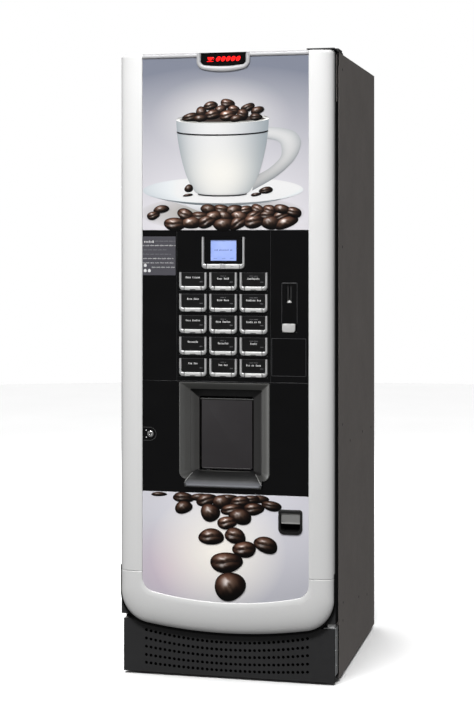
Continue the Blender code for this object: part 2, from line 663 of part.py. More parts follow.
def display_screen():
    half_x = SCREEN_SIZE[0] / 2 + 0.0015
    item = box("display_screen", (KEY_X - half_x, KEY_X + half_x), (KEY_PLATE_Y[0], KEY_PLATE_Y[1] + 0.008),
               (SCREEN_TOP - SCREEN_SIZE[1] - 0.0015, SCREEN_TOP + 0.0015), "screen")
    add(item, box("tool_screen_board", (KEY_X - half_x - 0.006, KEY_X + half_x + 0.006),
                  (KEY_PLATE_Y[1] + GAP, KEY_PLATE_Y[1] + 0.006),
                  (SCREEN_TOP - SCREEN_SIZE[1] - 0.003, 1.1960)))
    return item


def button_mesh(name, size):
    """Push bar about its own centre: bevelled cap in front, wider retaining flange behind."""
    half_x, half_z = size[0] / 2, size[1] / 2
    front, back = DOOR_Y - BUTTON_PROUD, BUTTON_BACK
    shoulder, bevel, lip = KEY_PLATE_Y[1] + GAP, 0.0012, 0.0015
    sections = ((half_x - bevel, half_z - bevel, front), (half_x, half_z, front + bevel),
                (half_x, half_z, shoulder),
                (half_x + lip, half_z + lip, shoulder), (half_x + lip, half_z + lip, back))
    bm = bmesh.new()
    rings = []
    for x, z, y in sections:
        rings.append([bm.verts.new((i * x, y - DOOR_Y, j * z)) for i,
                      j in ((-1, -1), (1, -1), (1, 1), (-1, 1))])
    for first, second in zip(rings, rings[1:]):
        for i in range(4):
            j = (i + 1) % 4
            bm.faces.new((first[i], first[j], second[j], second[i]))
    bm.faces.new(rings[0])
    bm.faces.new(list(reversed(rings[-1])))
    return mesh_from(bm, name)


def buttons():
    items = []
    mesh = button_mesh("selection_button", KEY_BUTTON)
    number = 0
    for _, _, x, top in key_centres():
        number += 1
        item = link_object(f"selection_button_{number:02d}", mesh.copy(), "silver")
        item.location = (x, DOOR_Y, top - KEY_SIZE[1] + KEY_BUTTON[1] / 2)
        items.append(item)
    mesh = button_mesh("display_button", DISPLAY_BUTTON)
    for label, x in zip(("left", "right"), DISPLAY_BUTTON_X):
        item = link_object(f"display_button_{label}", mesh.copy(), "silver")
        item.location = (KEY_X + x, DOOR_Y, DISPLAY_TOP - DISPLAY_SIZE[1] + DISPLAY_BUTTON[1] / 2)
        items.append(item)
    return items


# ---------------------------------------------------------------- delivery hatch
def ring_loft(name, sections, finish=None):
    """Closed frame whose cross-section runs through rectangles (x0, x1, z0, z1, y)."""
    bm = bmesh.new()
    rings = []
    for x0, x1, z0, z1, y in sections:
        rings.append([bm.verts.new(p) for p in ((x0, y, z0), (x1, y, z0), (x1, y, z1), (x0, y, z1))])
    for first, second in zip(rings, rings[1:] + rings[:1]):
        for i in range(4):
            j = (i + 1) % 4
            bm.faces.new((first[i], first[j], second[j], second[i]))
    return link_object(name, mesh_from(bm, name), finish)


def hatch_rect(share, y):
    """Rectangle between the bezel's outer edge (0) and the hatch opening (1), at depth y."""
    outer = (*BEZEL_X, *BEZEL_Z)
    inner = (-HATCH_HALF, HATCH_HALF, *HATCH_Z)
    return (*(a + (b - a) * share for a, b in zip(outer, inner)), y)


def delivery_bezel():
    """Sloping frame round the hatch, with a scoop that leads down and out under the flap."""
    rim = DOOR_Y - 0.004
    sections = [hatch_rect(0.00, DOOR_Y - GAP), hatch_rect(0.00, rim + 0.001), hatch_rect(0.02, rim),
                hatch_rect(0.08, rim), hatch_rect(0.52, DOOR_Y + 0.0155), hatch_rect(1.00, HATCH_Y),
                hatch_rect(1.00, MOULD_BACK), hatch_rect(0.94, MOULD_BACK),
                hatch_rect(0.50, DOOR_Y + 0.0200),
                hatch_rect(0.17, DOOR_Y + FASCIA_T), hatch_rect(0.17, DOOR_Y - GAP)]
    item = ring_loft("delivery_bezel", sections, "matt_black")
    scoop = ((HATCH_Y + 0.0015, 0.5668), (HATCH_Y - 0.0115, 0.5578), (DOOR_Y - 0.006, 0.5470),
             (FRONT, 0.5290),
             (FRONT, SCOOP_LIP_Z + 0.001), (FRONT + 0.001, SCOOP_LIP_Z), (DOOR_Y - 0.0006, SCOOP_LIP_Z),
             (DOOR_Y - 0.0006, 0.5485), (DOOR_Y + 0.008, 0.5535), (HATCH_Y + 0.0015, 0.5635))
    add(item, prism("tool_scoop", scoop, "X", -0.1045, 0.1035))
    return item


def cup_compartment():
    x = (-COMPARTMENT_HALF, COMPARTMENT_HALF)
    y = (BEHIND_PAN, COMPARTMENT_BACK)
    item = tray("cup_compartment", x, y, COMPARTMENT_Z, SHEET, "-Y", "dark_grey")
    cut(item, box("tool_cup_chute", (-0.050, 0.050), (-0.300, -0.225), (0.780, 0.800)))
    cut(item, box("tool_drain", (-0.060, 0.060), (-0.310, -0.230), (0.540, 0.550)))
    grid = box("drip_grid", (x[0] + SHEET + GAP, x[1] - SHEET - GAP), (y[0] + 0.003, y[1] - SHEET - GAP),
               (COMPARTMENT_Z[0] + SHEET + GAP, 0.5600), "steel")
    cut(grid, box("tool_grid_under", (x[0] + 0.006, x[1] - 0.006), (y[0] + 0.006, y[1] - 0.006),
                  (0.540, 0.5575)))
    slots = [((-0.070, 0.070), (sy, sy + 0.005), (0.550, 0.570)) for sy in
             [y[0] + 0.012 + 0.0125 * i for i in range(8)]]
    cut(grid, boxes("tool_grid_slots", slots))
    return item, grid


def delivery_flap():
    y, z = FLAP_AXIS
    item = box("delivery_flap", (-FLAP_HALF, FLAP_HALF), (y - 0.0015, y + 0.0015), FLAP_Z, "smoked")
    add(item, cylinder("tool_flap_barrel", (y, z), "X", 0.0030, -FLAP_HALF - 0.003, FLAP_HALF + 0.003, 12))
    add(item, box("tool_flap_lip", (-FLAP_HALF, FLAP_HALF), (y - 0.0060, y),
                  (FLAP_Z[0], FLAP_Z[0] + 0.0025)))
    set_origin(item, (0.0, y, z))
    return item


# ---------------------------------------------------------------- coin parts and lock
def coin_parts():
    entry = box("coin_entry", COIN_ENTRY_X, (DOOR_Y - 0.0015, DOOR_Y + 0.0090), COIN_ENTRY_Z, "gloss_black")
    cut(entry, box("tool_coin_recess", RECESS_X, (DOOR_Y - 0.01, DOOR_Y + 0.0040), RECESS_Z))
    cut(entry, box("tool_coin_slot", SLOT_X, (DOOR_Y - 0.01, DOOR_Y + 0.02), SLOT_Z))
    outline = rounded_rect(REJECT_X, REJECT_Z, (0.007, 0.007, 0.001, 0.001))
    reject = prism("coin_reject_button", outline, "Y", DOOR_Y - 0.0050, DOOR_Y + 0.0050, "silver", 35)
    add(reject, box("tool_reject_stem", (0.1680, 0.1850), (DOOR_Y + 0.004, PAN_FRONT + 0.010),
                    (0.9490, 0.9600)))
    set_origin(reject, ((REJECT_X[0] + REJECT_X[1]) / 2, DOOR_Y, (REJECT_Z[0] + REJECT_Z[1]) / 2))
    mechanism = box("coin_mechanism", (0.1350, 0.2130), (BEHIND_PAN, -0.2050), (0.600, 0.925), "matt_black")
    add(mechanism, box("tool_coin_chute", (0.1650, 0.1890), (-0.3000, -0.2700), (0.920, 0.990)))
    return entry, reject, mechanism


def coin_return():
    shell = prism("coin_return_cup", rounded_rect(CUP_X, CUP_Z, (0.016, 0.016, 0.008, 0.008)), "Y",
                  DOOR_Y - 0.0035, DOOR_Y - GAP, "matt_black", 35)
    add(shell, box("tool_cup_body", (0.1520, 0.2090), (DOOR_Y - 0.0010, DOOR_Y + 0.0500), (0.4080, 0.4670)))
    inside = ((DOOR_Y - 0.02, 0.4110), (DOOR_Y + 0.004, 0.4110), (DOOR_Y + 0.030, 0.4180),
              (DOOR_Y + 0.046, 0.4360),
              (DOOR_Y + 0.046, 0.4640), (DOOR_Y - 0.02, 0.4640))
    cut(shell, prism("tool_cup_inside", inside, "X", 0.1540, 0.2070))
    y, z = DOOR_Y + 0.0030, 0.4600
    flap = box("coin_return_flap", CUP_FLAP_X, (y - 0.0010, y + 0.0010), (CUP_FLAP_Z[0], z), "grey_plastic")
    add(flap, cylinder("tool_cup_flap_barrel", (y, z), "X", 0.0025, *CUP_FLAP_X, 12))
    set_origin(flap, ((CUP_X[0] + CUP_X[1]) / 2, y, z))
    return shell, flap


def lock_cylinder():
    """Barrel through the fascia and the pan, with a cam that hangs down when the lock is open."""
    x, z = LOCK
    cam_y = (CABINET_FRONT + 0.0055, CABINET_FRONT + 0.0085)
    item = cylinder("lock_cylinder", LOCK, "Y", LOCK_R, DOOR_Y - 0.0030, cam_y[0] + 0.001, 20, "steel")
    cam = rounded_rect((x - 0.008, x + 0.008), (z - 0.082, z + 0.008), (0.008, 0.008, 0.008, 0.008), 3)
    add(item, prism("tool_cam", cam, "Y", *cam_y))
    cut(item, box("tool_keyway", (x - 0.0010, x + 0.0010), (DOOR_Y - 0.01, DOOR_Y + 0.004),
                  (z - 0.0045, z + 0.0045)))
    set_origin(item, (x, DOOR_Y, z))
    return item


# ---------------------------------------------------------------- assembly
def hang_on_door(items):
    """Parent the door's pieces to an empty on the hinge axis."""
    axis = bpy.data.objects.new("door_axis", None)
    axis.location = HINGE
    bpy.context.scene.collection.objects.link(axis)
    for item in items:
        item.parent = axis
        item.location = item.location - HINGE


def flatten(results):
    for result in results:
        if isinstance(result, (tuple, list)):
            yield from flatten(result)
        else:
            yield result


def build():
    clear_scene()
    side_panel("left_side_panel", -1)
    side_panel("right_side_panel", 1)
    for make in (top_panel, back_panel, base_frame, kick_plate, hinge_brackets, equipment_panel,
                 bean_hopper,
                 coffee_grinder, brew_unit, boiler, mixer_unit, cup_carousel, waste_bucket,
                 electronics_box):
        make()
    powder_canister("powder_canister_1", (-0.270, -0.145))
    powder_canister("powder_canister_2", (-0.135, -0.010))
    door = [door_pan(), side_moulding("left_moulding", -1), side_moulding("right_moulding", 1),
            bottom_moulding(),
            top_rail(), light_panels(), fascias(), keypad_frame(), display_screen(), buttons(),
            delivery_bezel(),
            cup_compartment(), delivery_flap(), coin_parts(), coin_return(), lock_cylinder()]
    hang_on_door(flatten(door))


build()
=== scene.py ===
"""Looks of a free-standing hot-drinks vending machine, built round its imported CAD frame.

Metres, +Z up, door facing -Y. Places come from the CAD nodes' boxes.
"""
import json
import math

import bmesh
import bpy
import numpy as np
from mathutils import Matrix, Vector


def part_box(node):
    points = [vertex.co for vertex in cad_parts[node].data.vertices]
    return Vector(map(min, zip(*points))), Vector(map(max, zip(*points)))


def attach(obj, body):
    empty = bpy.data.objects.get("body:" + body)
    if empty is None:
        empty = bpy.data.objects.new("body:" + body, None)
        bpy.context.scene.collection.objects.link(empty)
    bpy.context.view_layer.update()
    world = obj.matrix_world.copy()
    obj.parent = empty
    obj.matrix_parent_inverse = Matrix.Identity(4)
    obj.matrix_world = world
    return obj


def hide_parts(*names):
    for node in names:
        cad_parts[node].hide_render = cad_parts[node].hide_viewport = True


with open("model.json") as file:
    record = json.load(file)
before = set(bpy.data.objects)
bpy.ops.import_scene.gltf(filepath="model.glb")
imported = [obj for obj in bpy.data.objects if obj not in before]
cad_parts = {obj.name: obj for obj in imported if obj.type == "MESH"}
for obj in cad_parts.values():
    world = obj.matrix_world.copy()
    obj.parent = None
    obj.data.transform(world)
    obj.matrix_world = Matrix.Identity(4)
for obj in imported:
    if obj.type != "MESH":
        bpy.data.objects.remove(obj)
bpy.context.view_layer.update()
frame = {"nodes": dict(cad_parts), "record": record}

# ---------------------------------------------------------------- places from the frame
BODY_OF = {node: body for body, nodes in frame["record"]["behaviour"]["bodies"].items() for node in nodes}


def box_of(node):
    """((x0, x1), (y0, y1), (z0, z1)) of a CAD node at rest."""
    low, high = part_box(node)
    return tuple((low[i], high[i]) for i in range(3))


def linked(name, data):
    """A new object in the scene."""
    item = bpy.data.objects.new(name, data)
    bpy.context.scene.collection.objects.link(item)
    return item


PANEL_X, _, _ = box_of("right_side_panel")
_, FASCIA_Y, FASCIA_Z = box_of("keypad_fascia")
LOWER_X, _, LOWER_Z = box_of("lower_fascia")
PICTURE_X, _, PICTURE_Z = box_of("upper_light_panel")
MOULD_X, MOULD_Y, MOULD_Z = box_of("right_moulding")
_, _, BOTTOM_Z = box_of("bottom_moulding")
PAN_X, PAN_Y, _ = box_of("door_pan")
KICK_X, KICK_Y, KICK_Z = box_of("kick_plate")
RAIL_X, RAIL_Y, RAIL_Z = box_of("top_rail")
BEZEL_X, BEZEL_Y, BEZEL_Z = box_of("delivery_bezel")
DOOR_Y = FASCIA_Y[0]                # face of the fascia and the pictures
PRINT_Y = DOOR_Y - 0.0002           # a print lies just off its panel
SKIN_Y = DOOR_Y - 0.0003            # where fittings that stand on the front begin

# outlines of the silver U: half width, bottom, radius of the bow and of the corners
MOULD_INNER = {"half": MOULD_X[0], "bottom": 0.2140, "bow": 0.950, "corner": 0.038}
MOULD_OUTER = {"half": MOULD_X[1], "bottom": BOTTOM_Z[0], "bow": 1.350, "corner": 0.088}
MOULD_POWER = 2.35                  # squareness of the moulding's round shoulder

KEYS = [f"selection_button_{i:02d}" for i in range(1, 16)]
DISPLAY_KEYS = ["display_button_left", "display_button_right"]
KEY_SIZE = (0.0762, 0.0482)
KEY_ARM = 0.0060                    # width of a silver ridge beside its label
KEY_CORNER = 0.011
KEY_INSET = 0.0015                  # from a key's CAD box in to its ridge
BAR_GAP = 0.0014                    # between a ridge's foot and its push bar
RIDGE_Y = box_of("keypad_frame")[1][0]


# ---------------------------------------------------------------- shader building
class Shader:
    """A Principled material built node by node; coordinates are the object's own, in metres."""

    def __init__(self, name, colour, roughness, metallic=0.0, **fixed):
        self.material = bpy.data.materials.new(name)
        self.material.use_nodes = True
        self.tree = self.material.node_tree
        self.principled = self.tree.nodes["Principled BSDF"]
        self.set("Base Color", (*colour, 1.0))
        self.set("Roughness", roughness)
        self.set("Metallic", metallic)
        for socket, value in fixed.items():
            self.set(socket.replace("_", " "), value)
        self.coordinates = self.tree.nodes.new("ShaderNodeTexCoord").outputs["Object"]

    def set(self, socket, value):
        self.principled.inputs[socket].default_value = value

    def wire(self, output, node, socket):
        self.tree.links.new(output, node.inputs[socket])

    def node(self, kind, **values):
        node = self.tree.nodes.new(kind)
        for key, value in values.items():
            if hasattr(node, key):
                setattr(node, key, value)
            else:
                node.inputs[key.replace("_", " ")].default_value = value
        return node

    def stretched(self, scale, location=(0, 0, 0)):
        mapping = self.node("ShaderNodeMapping")
        mapping.inputs["Scale"].default_value = scale
        mapping.inputs["Location"].default_value = location
        self.wire(self.coordinates, mapping, "Vector")
        return mapping.outputs["Vector"]

    def noise(self, scale, detail=3.0, stretch=(1, 1, 1)):
        texture = self.node("ShaderNodeTexNoise", Scale=scale, Detail=detail)
        self.wire(self.stretched(stretch), texture, "Vector")
        return texture.outputs["Fac"]

    def cells(self, scale):
        texture = self.node("ShaderNodeTexVoronoi", Scale=scale)
        self.wire(self.coordinates, texture, "Vector")
        return texture.outputs["Color"]

    def ramp(self, factor, stops):
        ramp = self.node("ShaderNodeValToRGB")
        elements = ramp.color_ramp.elements
        while len(elements) < len(stops):
            elements.new(0.5)
        for element, (position, colour) in zip(elements, stops):
            element.position = position
            element.color = (*colour, 1.0)
        self.wire(factor, ramp, "Fac")
        return ramp.outputs["Color"]

    def mottle(self, factor, colour, spread):
        """Colour that varies by the factor, within spread either way."""
        darker = [c * (1 - spread) for c in colour]
        lighter = [min(1.0, c * (1 + spread)) for c in colour]
        self.wire(self.ramp(factor, ((0.3, darker), (0.7, lighter))), self.principled, "Base Color")

    def vary_roughness(self, factor, low, high):
        spread = self.node("ShaderNodeMapRange", From_Min=0.3, From_Max=0.7, To_Min=low, To_Max=high)
        self.wire(factor, spread, "Value")
        self.wire(spread.outputs["Result"], self.principled, "Roughness")

    def bump(self, factor, strength, distance=0.0004):
        bump = self.node("ShaderNodeBump", Strength=strength, Distance=distance)
        self.wire(factor, bump, "Height")
        self.wire(bump.outputs["Normal"], self.principled, "Normal")

    def glow(self, centre, size, power=1.0):
        """1 at the centre, falling to 0 on an ellipsoid round it."""
        scale = [1.0 / s for s in size]
        location = [-c * k for c, k in zip(centre, scale)]
        gradient = self.node("ShaderNodeTexGradient", gradient_type="SPHERICAL")
        self.wire(self.stretched(scale, location), gradient, "Vector")
        raised = self.node("ShaderNodeMath", operation="POWER")
        self.wire(gradient.outputs["Fac"], raised, 0)
        raised.inputs[1].default_value = power
        return raised.outputs["Value"]

    def blend(self, factor, first, second):
        """Mix of two colours, each a colour or an output."""
        mix = self.node("ShaderNodeMix", data_type="RGBA")
        self.wire(factor, mix, "Factor")
        for value, socket in ((first, mix.inputs[6]), (second, mix.inputs[7])):
            if isinstance(value, tuple):
                socket.default_value = (*value, 1.0)
            else:
                self.tree.links.new(value, socket)
        return mix.outputs[2]


def painted_steel(name, colour, roughness, specular=0.45):
    """Powder coat: fine orange peel, slight mottling."""
    shader = Shader(name, colour, roughness, Specular_IOR_Level=specular)
    shader.mottle(shader.noise(9.0, 5.0), colour, 0.06)
    shader.vary_roughness(shader.noise(60.0), roughness - 0.05, roughness + 0.06)
    shader.bump(shader.noise(1400.0, 2.0), 0.25)
    return shader.material


def moulded_plastic(name, colour, roughness, texture=0.12):
    """Moulding with a fine spark-eroded grain."""
    shader = Shader(name, colour, roughness)
    shader.mottle(shader.noise(25.0, 4.0), colour, 0.05)
    shader.vary_roughness(shader.noise(90.0), roughness - 0.04, roughness + 0.05)
    shader.bump(shader.noise(2200.0, 1.0), texture, 0.0002)
    return shader.material


def smooth_plastic(name, colour, roughness, coat, specular=0.5):
    """Untextured moulding, faintly uneven in tone and sheen."""
    shader = Shader(name, colour, roughness, Coat_Weight=coat, Coat_Roughness=0.12,
                    Specular_IOR_Level=specular)
    shader.mottle(shader.noise(12.0, 3.0), colour, 0.06)
    shader.vary_roughness(shader.noise(20.0), roughness - 0.03, roughness + 0.04)
    return shader.material


def gloss_plastic(name, colour, roughness, coat=0.6, specular=0.5):
    """Polished moulding with faint wiping marks."""
    shader = Shader(name, colour, roughness, Coat_Weight=coat, Coat_Roughness=0.04,
                    Specular_IOR_Level=specular)
    shader.mottle(shader.noise(14.0, 4.0), colour, 0.10)
    shader.vary_roughness(shader.noise(7.0, 6.0, (1, 1, 3)), roughness, roughness + 0.10)
    shader.bump(shader.noise(18.0, 1.0), 0.02, 0.0003)
    return shader.material


def satin_silver(name, colour, roughness, metallic):
    """Silver paint with a fine metallic flake."""
    shader = Shader(name, colour, roughness, metallic, Coat_Weight=0.10, Coat_Roughness=0.30)
    shader.mottle(shader.noise(1800.0, 1.0), colour, 0.03)
    shader.vary_roughness(shader.noise(11.0, 5.0), roughness - 0.03, roughness + 0.05)
    shader.bump(shader.noise(2600.0, 1.0), 0.05, 0.0002)
    return shader.material


def galvanised(name, colour, roughness):
    """Zinc spangle: flat crystals of slightly different grey."""
    shader = Shader(name, colour, roughness, 1.0)
    crystals = shader.cells(150.0)
    shader.mottle(crystals, colour, 0.06)
    shader.vary_roughness(crystals, roughness - 0.03, roughness + 0.05)
    shader.bump(shader.noise(500.0), 0.06)
    return shader.material


def brushed_metal(name, colour, roughness, stretch=(1, 1, 30)):
    """Metal with fine grain lines square to the axis that is stretched."""
    shader = Shader(name, colour, roughness, 1.0)
    grain = shader.noise(420.0, 3.0, stretch)
    shader.mottle(grain, colour, 0.10)
    shader.vary_roughness(grain, roughness - 0.06, roughness + 0.08)
    shader.bump(grain, 0.06, 0.0002)
    return shader.material


def clear_plastic(name, colour, roughness, transmission):
    """Tinted moulding that lets light through."""
    shader = Shader(name, colour, roughness, Transmission_Weight=transmission, IOR=1.49)
    shader.mottle(shader.noise(12.0, 3.0), colour, 0.06)
    shader.bump(shader.noise(16.0, 1.0), 0.03, 0.0003)
    return shader.material


def lit_print(name, strength):
    """Printed film over lamps; its colours lie in the mesh's own colour attribute."""
    shader = Shader(name, (0.5, 0.5, 0.5), 0.34, Coat_Weight=0.08, Coat_Roughness=0.10,
                    Specular_IOR_Level=0.22, Emission_Strength=strength)
    painted = shader.node("ShaderNodeVertexColor", layer_name="ink").outputs["Color"]
    screen = shader.ramp(shader.noise(1500.0, 1.0), ((0.25, (0.93, 0.93, 0.93)), (0.75, (1.0, 1.0, 1.0))))
    ink = shader.node("ShaderNodeMix", data_type="RGBA", blend_type="MULTIPLY")
    ink.inputs["Factor"].default_value = 1.0
    shader.tree.links.new(painted, ink.inputs[6])
    shader.tree.links.new(screen, ink.inputs[7])
    shader.wire(ink.outputs[2], shader.principled, "Base Color")
    shader.wire(ink.outputs[2], shader.principled, "Emission Color")
    return shader.material


def lit_backdrop(name, layers, base, strength):
    """Backlit picture ground: soft ellipsoids of colour laid over each other."""
    shader = Shader(name, base, 0.28, Coat_Weight=0.5, Coat_Roughness=0.10, Emission_Strength=strength)
    ground = base
    for centre, size, power, colour in layers:
        ground = shader.blend(shader.glow(centre, size, power), ground, colour)
    shader.wire(ground, shader.principled, "Base Color")
    shader.wire(ground, shader.principled, "Emission Color")
    shader.bump(shader.noise(30.0, 1.0), 0.01, 0.0002)
    return shader.material


def plastic_with_painted_highlight(name, colour, roughness, centre, size, lit):
    """Moulding with a painted highlight: paler round one place, where it curves up to the light."""
    shader = Shader(name, colour, roughness, Specular_IOR_Level=0.25)
    tone = shader.blend(shader.glow(centre, size, 1.0), colour, lit)
    shader.wire(tone, shader.principled, "Base Color")
    shader.vary_roughness(shader.noise(90.0), roughness - 0.04, roughness + 0.05)
    return shader.material


def lamp_material(name, colour, strength, second):
    """A lit surface whose colour drifts between two tones."""
    shader = Shader(name, colour, 0.20, Coat_Weight=0.4, Emission_Strength=strength)
    tone = shader.ramp(shader.noise(22.0, 2.0), ((0.3, colour), (0.7, second)))
    shader.wire(tone, shader.principled, "Base Color")
    shader.wire(tone, shader.principled, "Emission Color")
    return shader.material


FINISH_TABLE = {                    # name, colour or grey level, roughness, then what the maker takes
    painted_steel: (
        ("side_paint", (0.330, 0.298, 0.280), 0.55),
        ("dark_paint", (0.024, 0.024, 0.025), 0.50),
        ("black_paint", 0.0020, 0.80, 0.08),
        ("rivet", (0.018, 0.017, 0.016), 0.35),
    ),
    galvanised: (
        ("zinc", (0.62, 0.64, 0.65), 0.42),
    ),
    satin_silver: (
        ("silver", (0.87, 0.87, 0.865), 0.46, 0.12),
        ("key_silver", 0.72, 0.28, 0.60),
        ("rail_silver", (0.46, 0.46, 0.47), 0.50, 0.12),
        ("bar_silver", (0.68, 0.68, 0.67), 0.36, 0.25),
    ),
    gloss_plastic: (
        ("piano_black", (0.0026, 0.0026, 0.0029), 0.07, 0.0, 0.35),
        ("roast", (0.055, 0.026, 0.014), 0.30, 0.3),
        ("board_green", (0.02, 0.10, 0.05), 0.30, 0.3),
    ),
    smooth_plastic: (
        ("hatch_plastic", (0.034, 0.034, 0.0322), 0.42, 0.0, 0.35),
        # the next two rows are painted shade for the bezel's deep faces
        ("hatch_inner", (0.019, 0.0185, 0.0175), 0.42, 0.0, 0.30),
        ("hatch_dark", (0.0075, 0.0072, 0.0070), 0.42, 0.0, 0.20),
        ("label_card", (0.0030, 0.0030, 0.0032), 0.30, 0.0),
        ("smoked", (0.034, 0.031, 0.033), 0.34, 0.1),
        ("recess_grey", 0.020, 0.35, 0.1),
    ),
    plastic_with_painted_highlight: (
        # the scoop: dark as shade under the flap, with a painted highlight toward its lip
        ("scoop_plastic", 0.0025, 0.50, (0.0, BEZEL_Y[0], BEZEL_Z[0] - 0.004), (9.0, 0.043, 0.026),
         (0.32, 0.33, 0.36)),
    ),
    moulded_plastic: (
        ("matt_black", 0.0050, 0.50),
        ("label_grey", (0.072, 0.070, 0.084), 0.40, 0.03),
        ("ink_white", 0.78, 0.50, 0.02),
        ("ink_grey", (0.22, 0.22, 0.23), 0.50, 0.02),
        ("line_grey", (0.050, 0.050, 0.053), 0.35, 0.02),
        ("flap_grey", (0.24, 0.24, 0.234), 0.38, 0.08),
        # pale grey for painted highlights on the scoop's cheeks, the coin field's lip and the coin return
        # flap's foot
        ("flap_light", (0.34, 0.34, 0.33), 0.34, 0.04),
        ("works_grey", (0.27, 0.27, 0.28), 0.45),
        ("works_white", (0.72, 0.72, 0.70), 0.42),
        ("works_blue", (0.05, 0.12, 0.30), 0.40),
        ("works_dark", 0.040, 0.40),
        ("works_red", (0.42, 0.045, 0.035), 0.40),
        ("cup_paper", (0.74, 0.68, 0.58), 0.62, 0.3),
        ("lcd_mark", (0.10, 0.13, 0.40), 0.30, 0.02),
        ("escutcheon", 0.055, 0.35, 0.02),
        ("pivot_white", 0.85, 0.35, 0.03),
        ("powder", (0.30, 0.17, 0.09), 0.90, 0.4),
    ),
    clear_plastic: (
        ("amber", (0.42, 0.27, 0.16), 0.12, 0.55),
        ("hose", (0.62, 0.60, 0.55), 0.25, 0.2),
    ),
    brushed_metal: (
        ("steel", (0.66, 0.66, 0.65), 0.26),
        ("bright_pin", (0.88, 0.88, 0.87), 0.18),
        ("copper", (0.62, 0.33, 0.20), 0.30),
        ("boiler", 0.70, 0.34, (1, 1, 6)),
    ),
    lamp_material: (                # the third value is the strength of the light
        ("lcd", (0.28, 0.38, 0.76), 0.30, (0.36, 0.46, 0.84)),
        ("red_glow", (0.95, 0.006, 0.006), 1.2, (1.0, 0.012, 0.010)),
    ),
}
FINISH = {name: make(name, colour if isinstance(colour, tuple) else (colour,) * 3, *rest)
          for make, rows in FINISH_TABLE.items() for name, colour, *rest in rows}
FINISH["print"] = lit_print("print", 0.12)


# ---------------------------------------------------------------- mesh building
PLANES = {                          # where an outline's two coordinates and its depth go
    "X": lambda u, v, w: (w, u, v),
    "Y": lambda u, v, w: (u, w, v),
    "Z": lambda u, v, w: (u, v, w),
}


def at(outline, y):
    """Points of an (x, z) outline at one depth."""
    return [(x, y, z) for x, z in outline]


class Form:
    """A mesh under construction. Each call adds a closed body with the current finish."""

    def __init__(self, finish):
        self.bm = bmesh.new()
        self.finishes = [finish]
        self.slot = 0

    def use(self, finish):
        if finish not in self.finishes:
            self.finishes.append(finish)
        self.slot = self.finishes.index(finish)
        return self

    def face(self, corners, smooth=True):
        made = self.bm.faces.new(corners)
        made.material_index = self.slot
        made.smooth = smooth

    def loft(self, rings, closed=False):
        """Skin through rings of equal length, capped, or with the last ring joined to the first."""
        rows = [[self.bm.verts.new(p) for p in ring] for ring in rings]
        pairs = list(zip(rows, rows[1:])) + ([(rows[-1], rows[0])] if closed else [])
        for first, second in pairs:
            count = len(first)
            for i in range(count):
                j = (i + 1) % count
                self.face((first[i], first[j], second[j], second[i]))
        if not closed:
            self.face(rows[0], smooth=False)
            self.face(list(reversed(rows[-1])), smooth=False)

    def prism(self, outline, low, high, axis="Y"):
        place = PLANES[axis]
        self.loft([[place(u, v, w) for u, v in outline] for w in (low, high)])

    def box(self, x, y, z):
        self.prism(((x[0], z[0]), (x[1], z[0]), (x[1], z[1]), (x[0], z[1])), *y)

    def pad(self, outline, low, high, edge, axis="Y"):
        """Prism whose rim at low is rounded by edge; the outline is convex round its middle."""
        place = PLANES[axis]
        middle = np.mean(outline, axis=0)
        steps = 3
        rings = []
        for i in range(steps + 1):
            angle = math.pi / 2 * i / steps
            inset = edge * (1 - math.sin(angle))
            depth = low + (1 if high > low else -1) * edge * (1 - math.cos(angle))
            ring = []
            for u, v in outline:
                du, dv = u - middle[0], v - middle[1]
                ring.append(place(u - math.copysign(min(inset, abs(du)), du),
                                  v - math.copysign(min(inset, abs(dv)), dv), depth))
            rings.append(ring)
        rings.append([place(u, v, high) for u, v in outline])
        self.loft(rings)

    def turned(self, centre, profile, segments=32, axis="Z"):
        """Body turned about an axis; the profile is (radius, distance along) from axis to axis."""
        place = PLANES[axis]
        rows = []
        for radius, along in profile:
            count = segments if radius else 1
            rows.append([self.bm.verts.new(place(centre[0] + radius * math.cos(math.tau * i / segments),
                                                 centre[1] + radius * math.sin(math.tau * i / segments),
                                                 along))
                         for i in range(count)])
        for first, second in zip(rows, rows[1:]):
            for i in range(segments):
                j = (i + 1) % segments
                corners = [first[i % len(first)], first[j % len(first)],
                           second[j % len(second)], second[i % len(second)]]
                self.face(list(dict.fromkeys(corners)))

    def tube(self, path, radius, segments=12):
        """Round bar along a path of points."""
        points = [Vector(p) for p in path]
        side = None
        rings = []
        for i, point in enumerate(points):
            ahead = points[min(i + 1, len(points) - 1)] - points[max(i - 1, 0)]
            ahead.normalize()
            if side is None:
                side = ahead.cross((0.3, 0.2, 1.0)).normalized()
            side = (side - ahead * side.dot(ahead)).normalized()
            other = ahead.cross(side)
            turns = [math.tau * k / segments for k in range(segments)]
            rings.append([point + (side * math.cos(t) + other * math.sin(t)) * radius for t in turns])
        self.loft(rings)

    def screw(self, centre, axis="Y", sign=-1, radius=0.0045):
        """Domed screw or rivet head that stands off a face; centre is (u, v, face)."""
        u, v, face = centre
        self.turned((u, v), [(0, face), (radius, face), (radius, face + sign * radius * 0.15),
                             (radius * 0.75, face + sign * radius * 0.42),
                             (radius * 0.35, face + sign * radius * 0.5),
                             (0, face + sign * radius * 0.5)], 20, axis)

    def mesh(self, name, sharp):
        bmesh.ops.recalc_face_normals(self.bm, faces=self.bm.faces)
        mesh = bpy.data.meshes.new(name)
        self.bm.to_mesh(mesh)
        self.bm.free()
        mesh.set_sharp_from_angle(angle=math.radians(sharp))
        for finish in self.finishes:
            mesh.materials.append(FINISH[finish])
        return mesh

    def place(self, name, node, replaces=(), edge=0.0, sharp=35):
        """Make the object, let it ride with the body of a CAD node and hide the nodes it replaces."""
        return placed(linked(name, self.mesh(name, sharp)), node, replaces, edge)


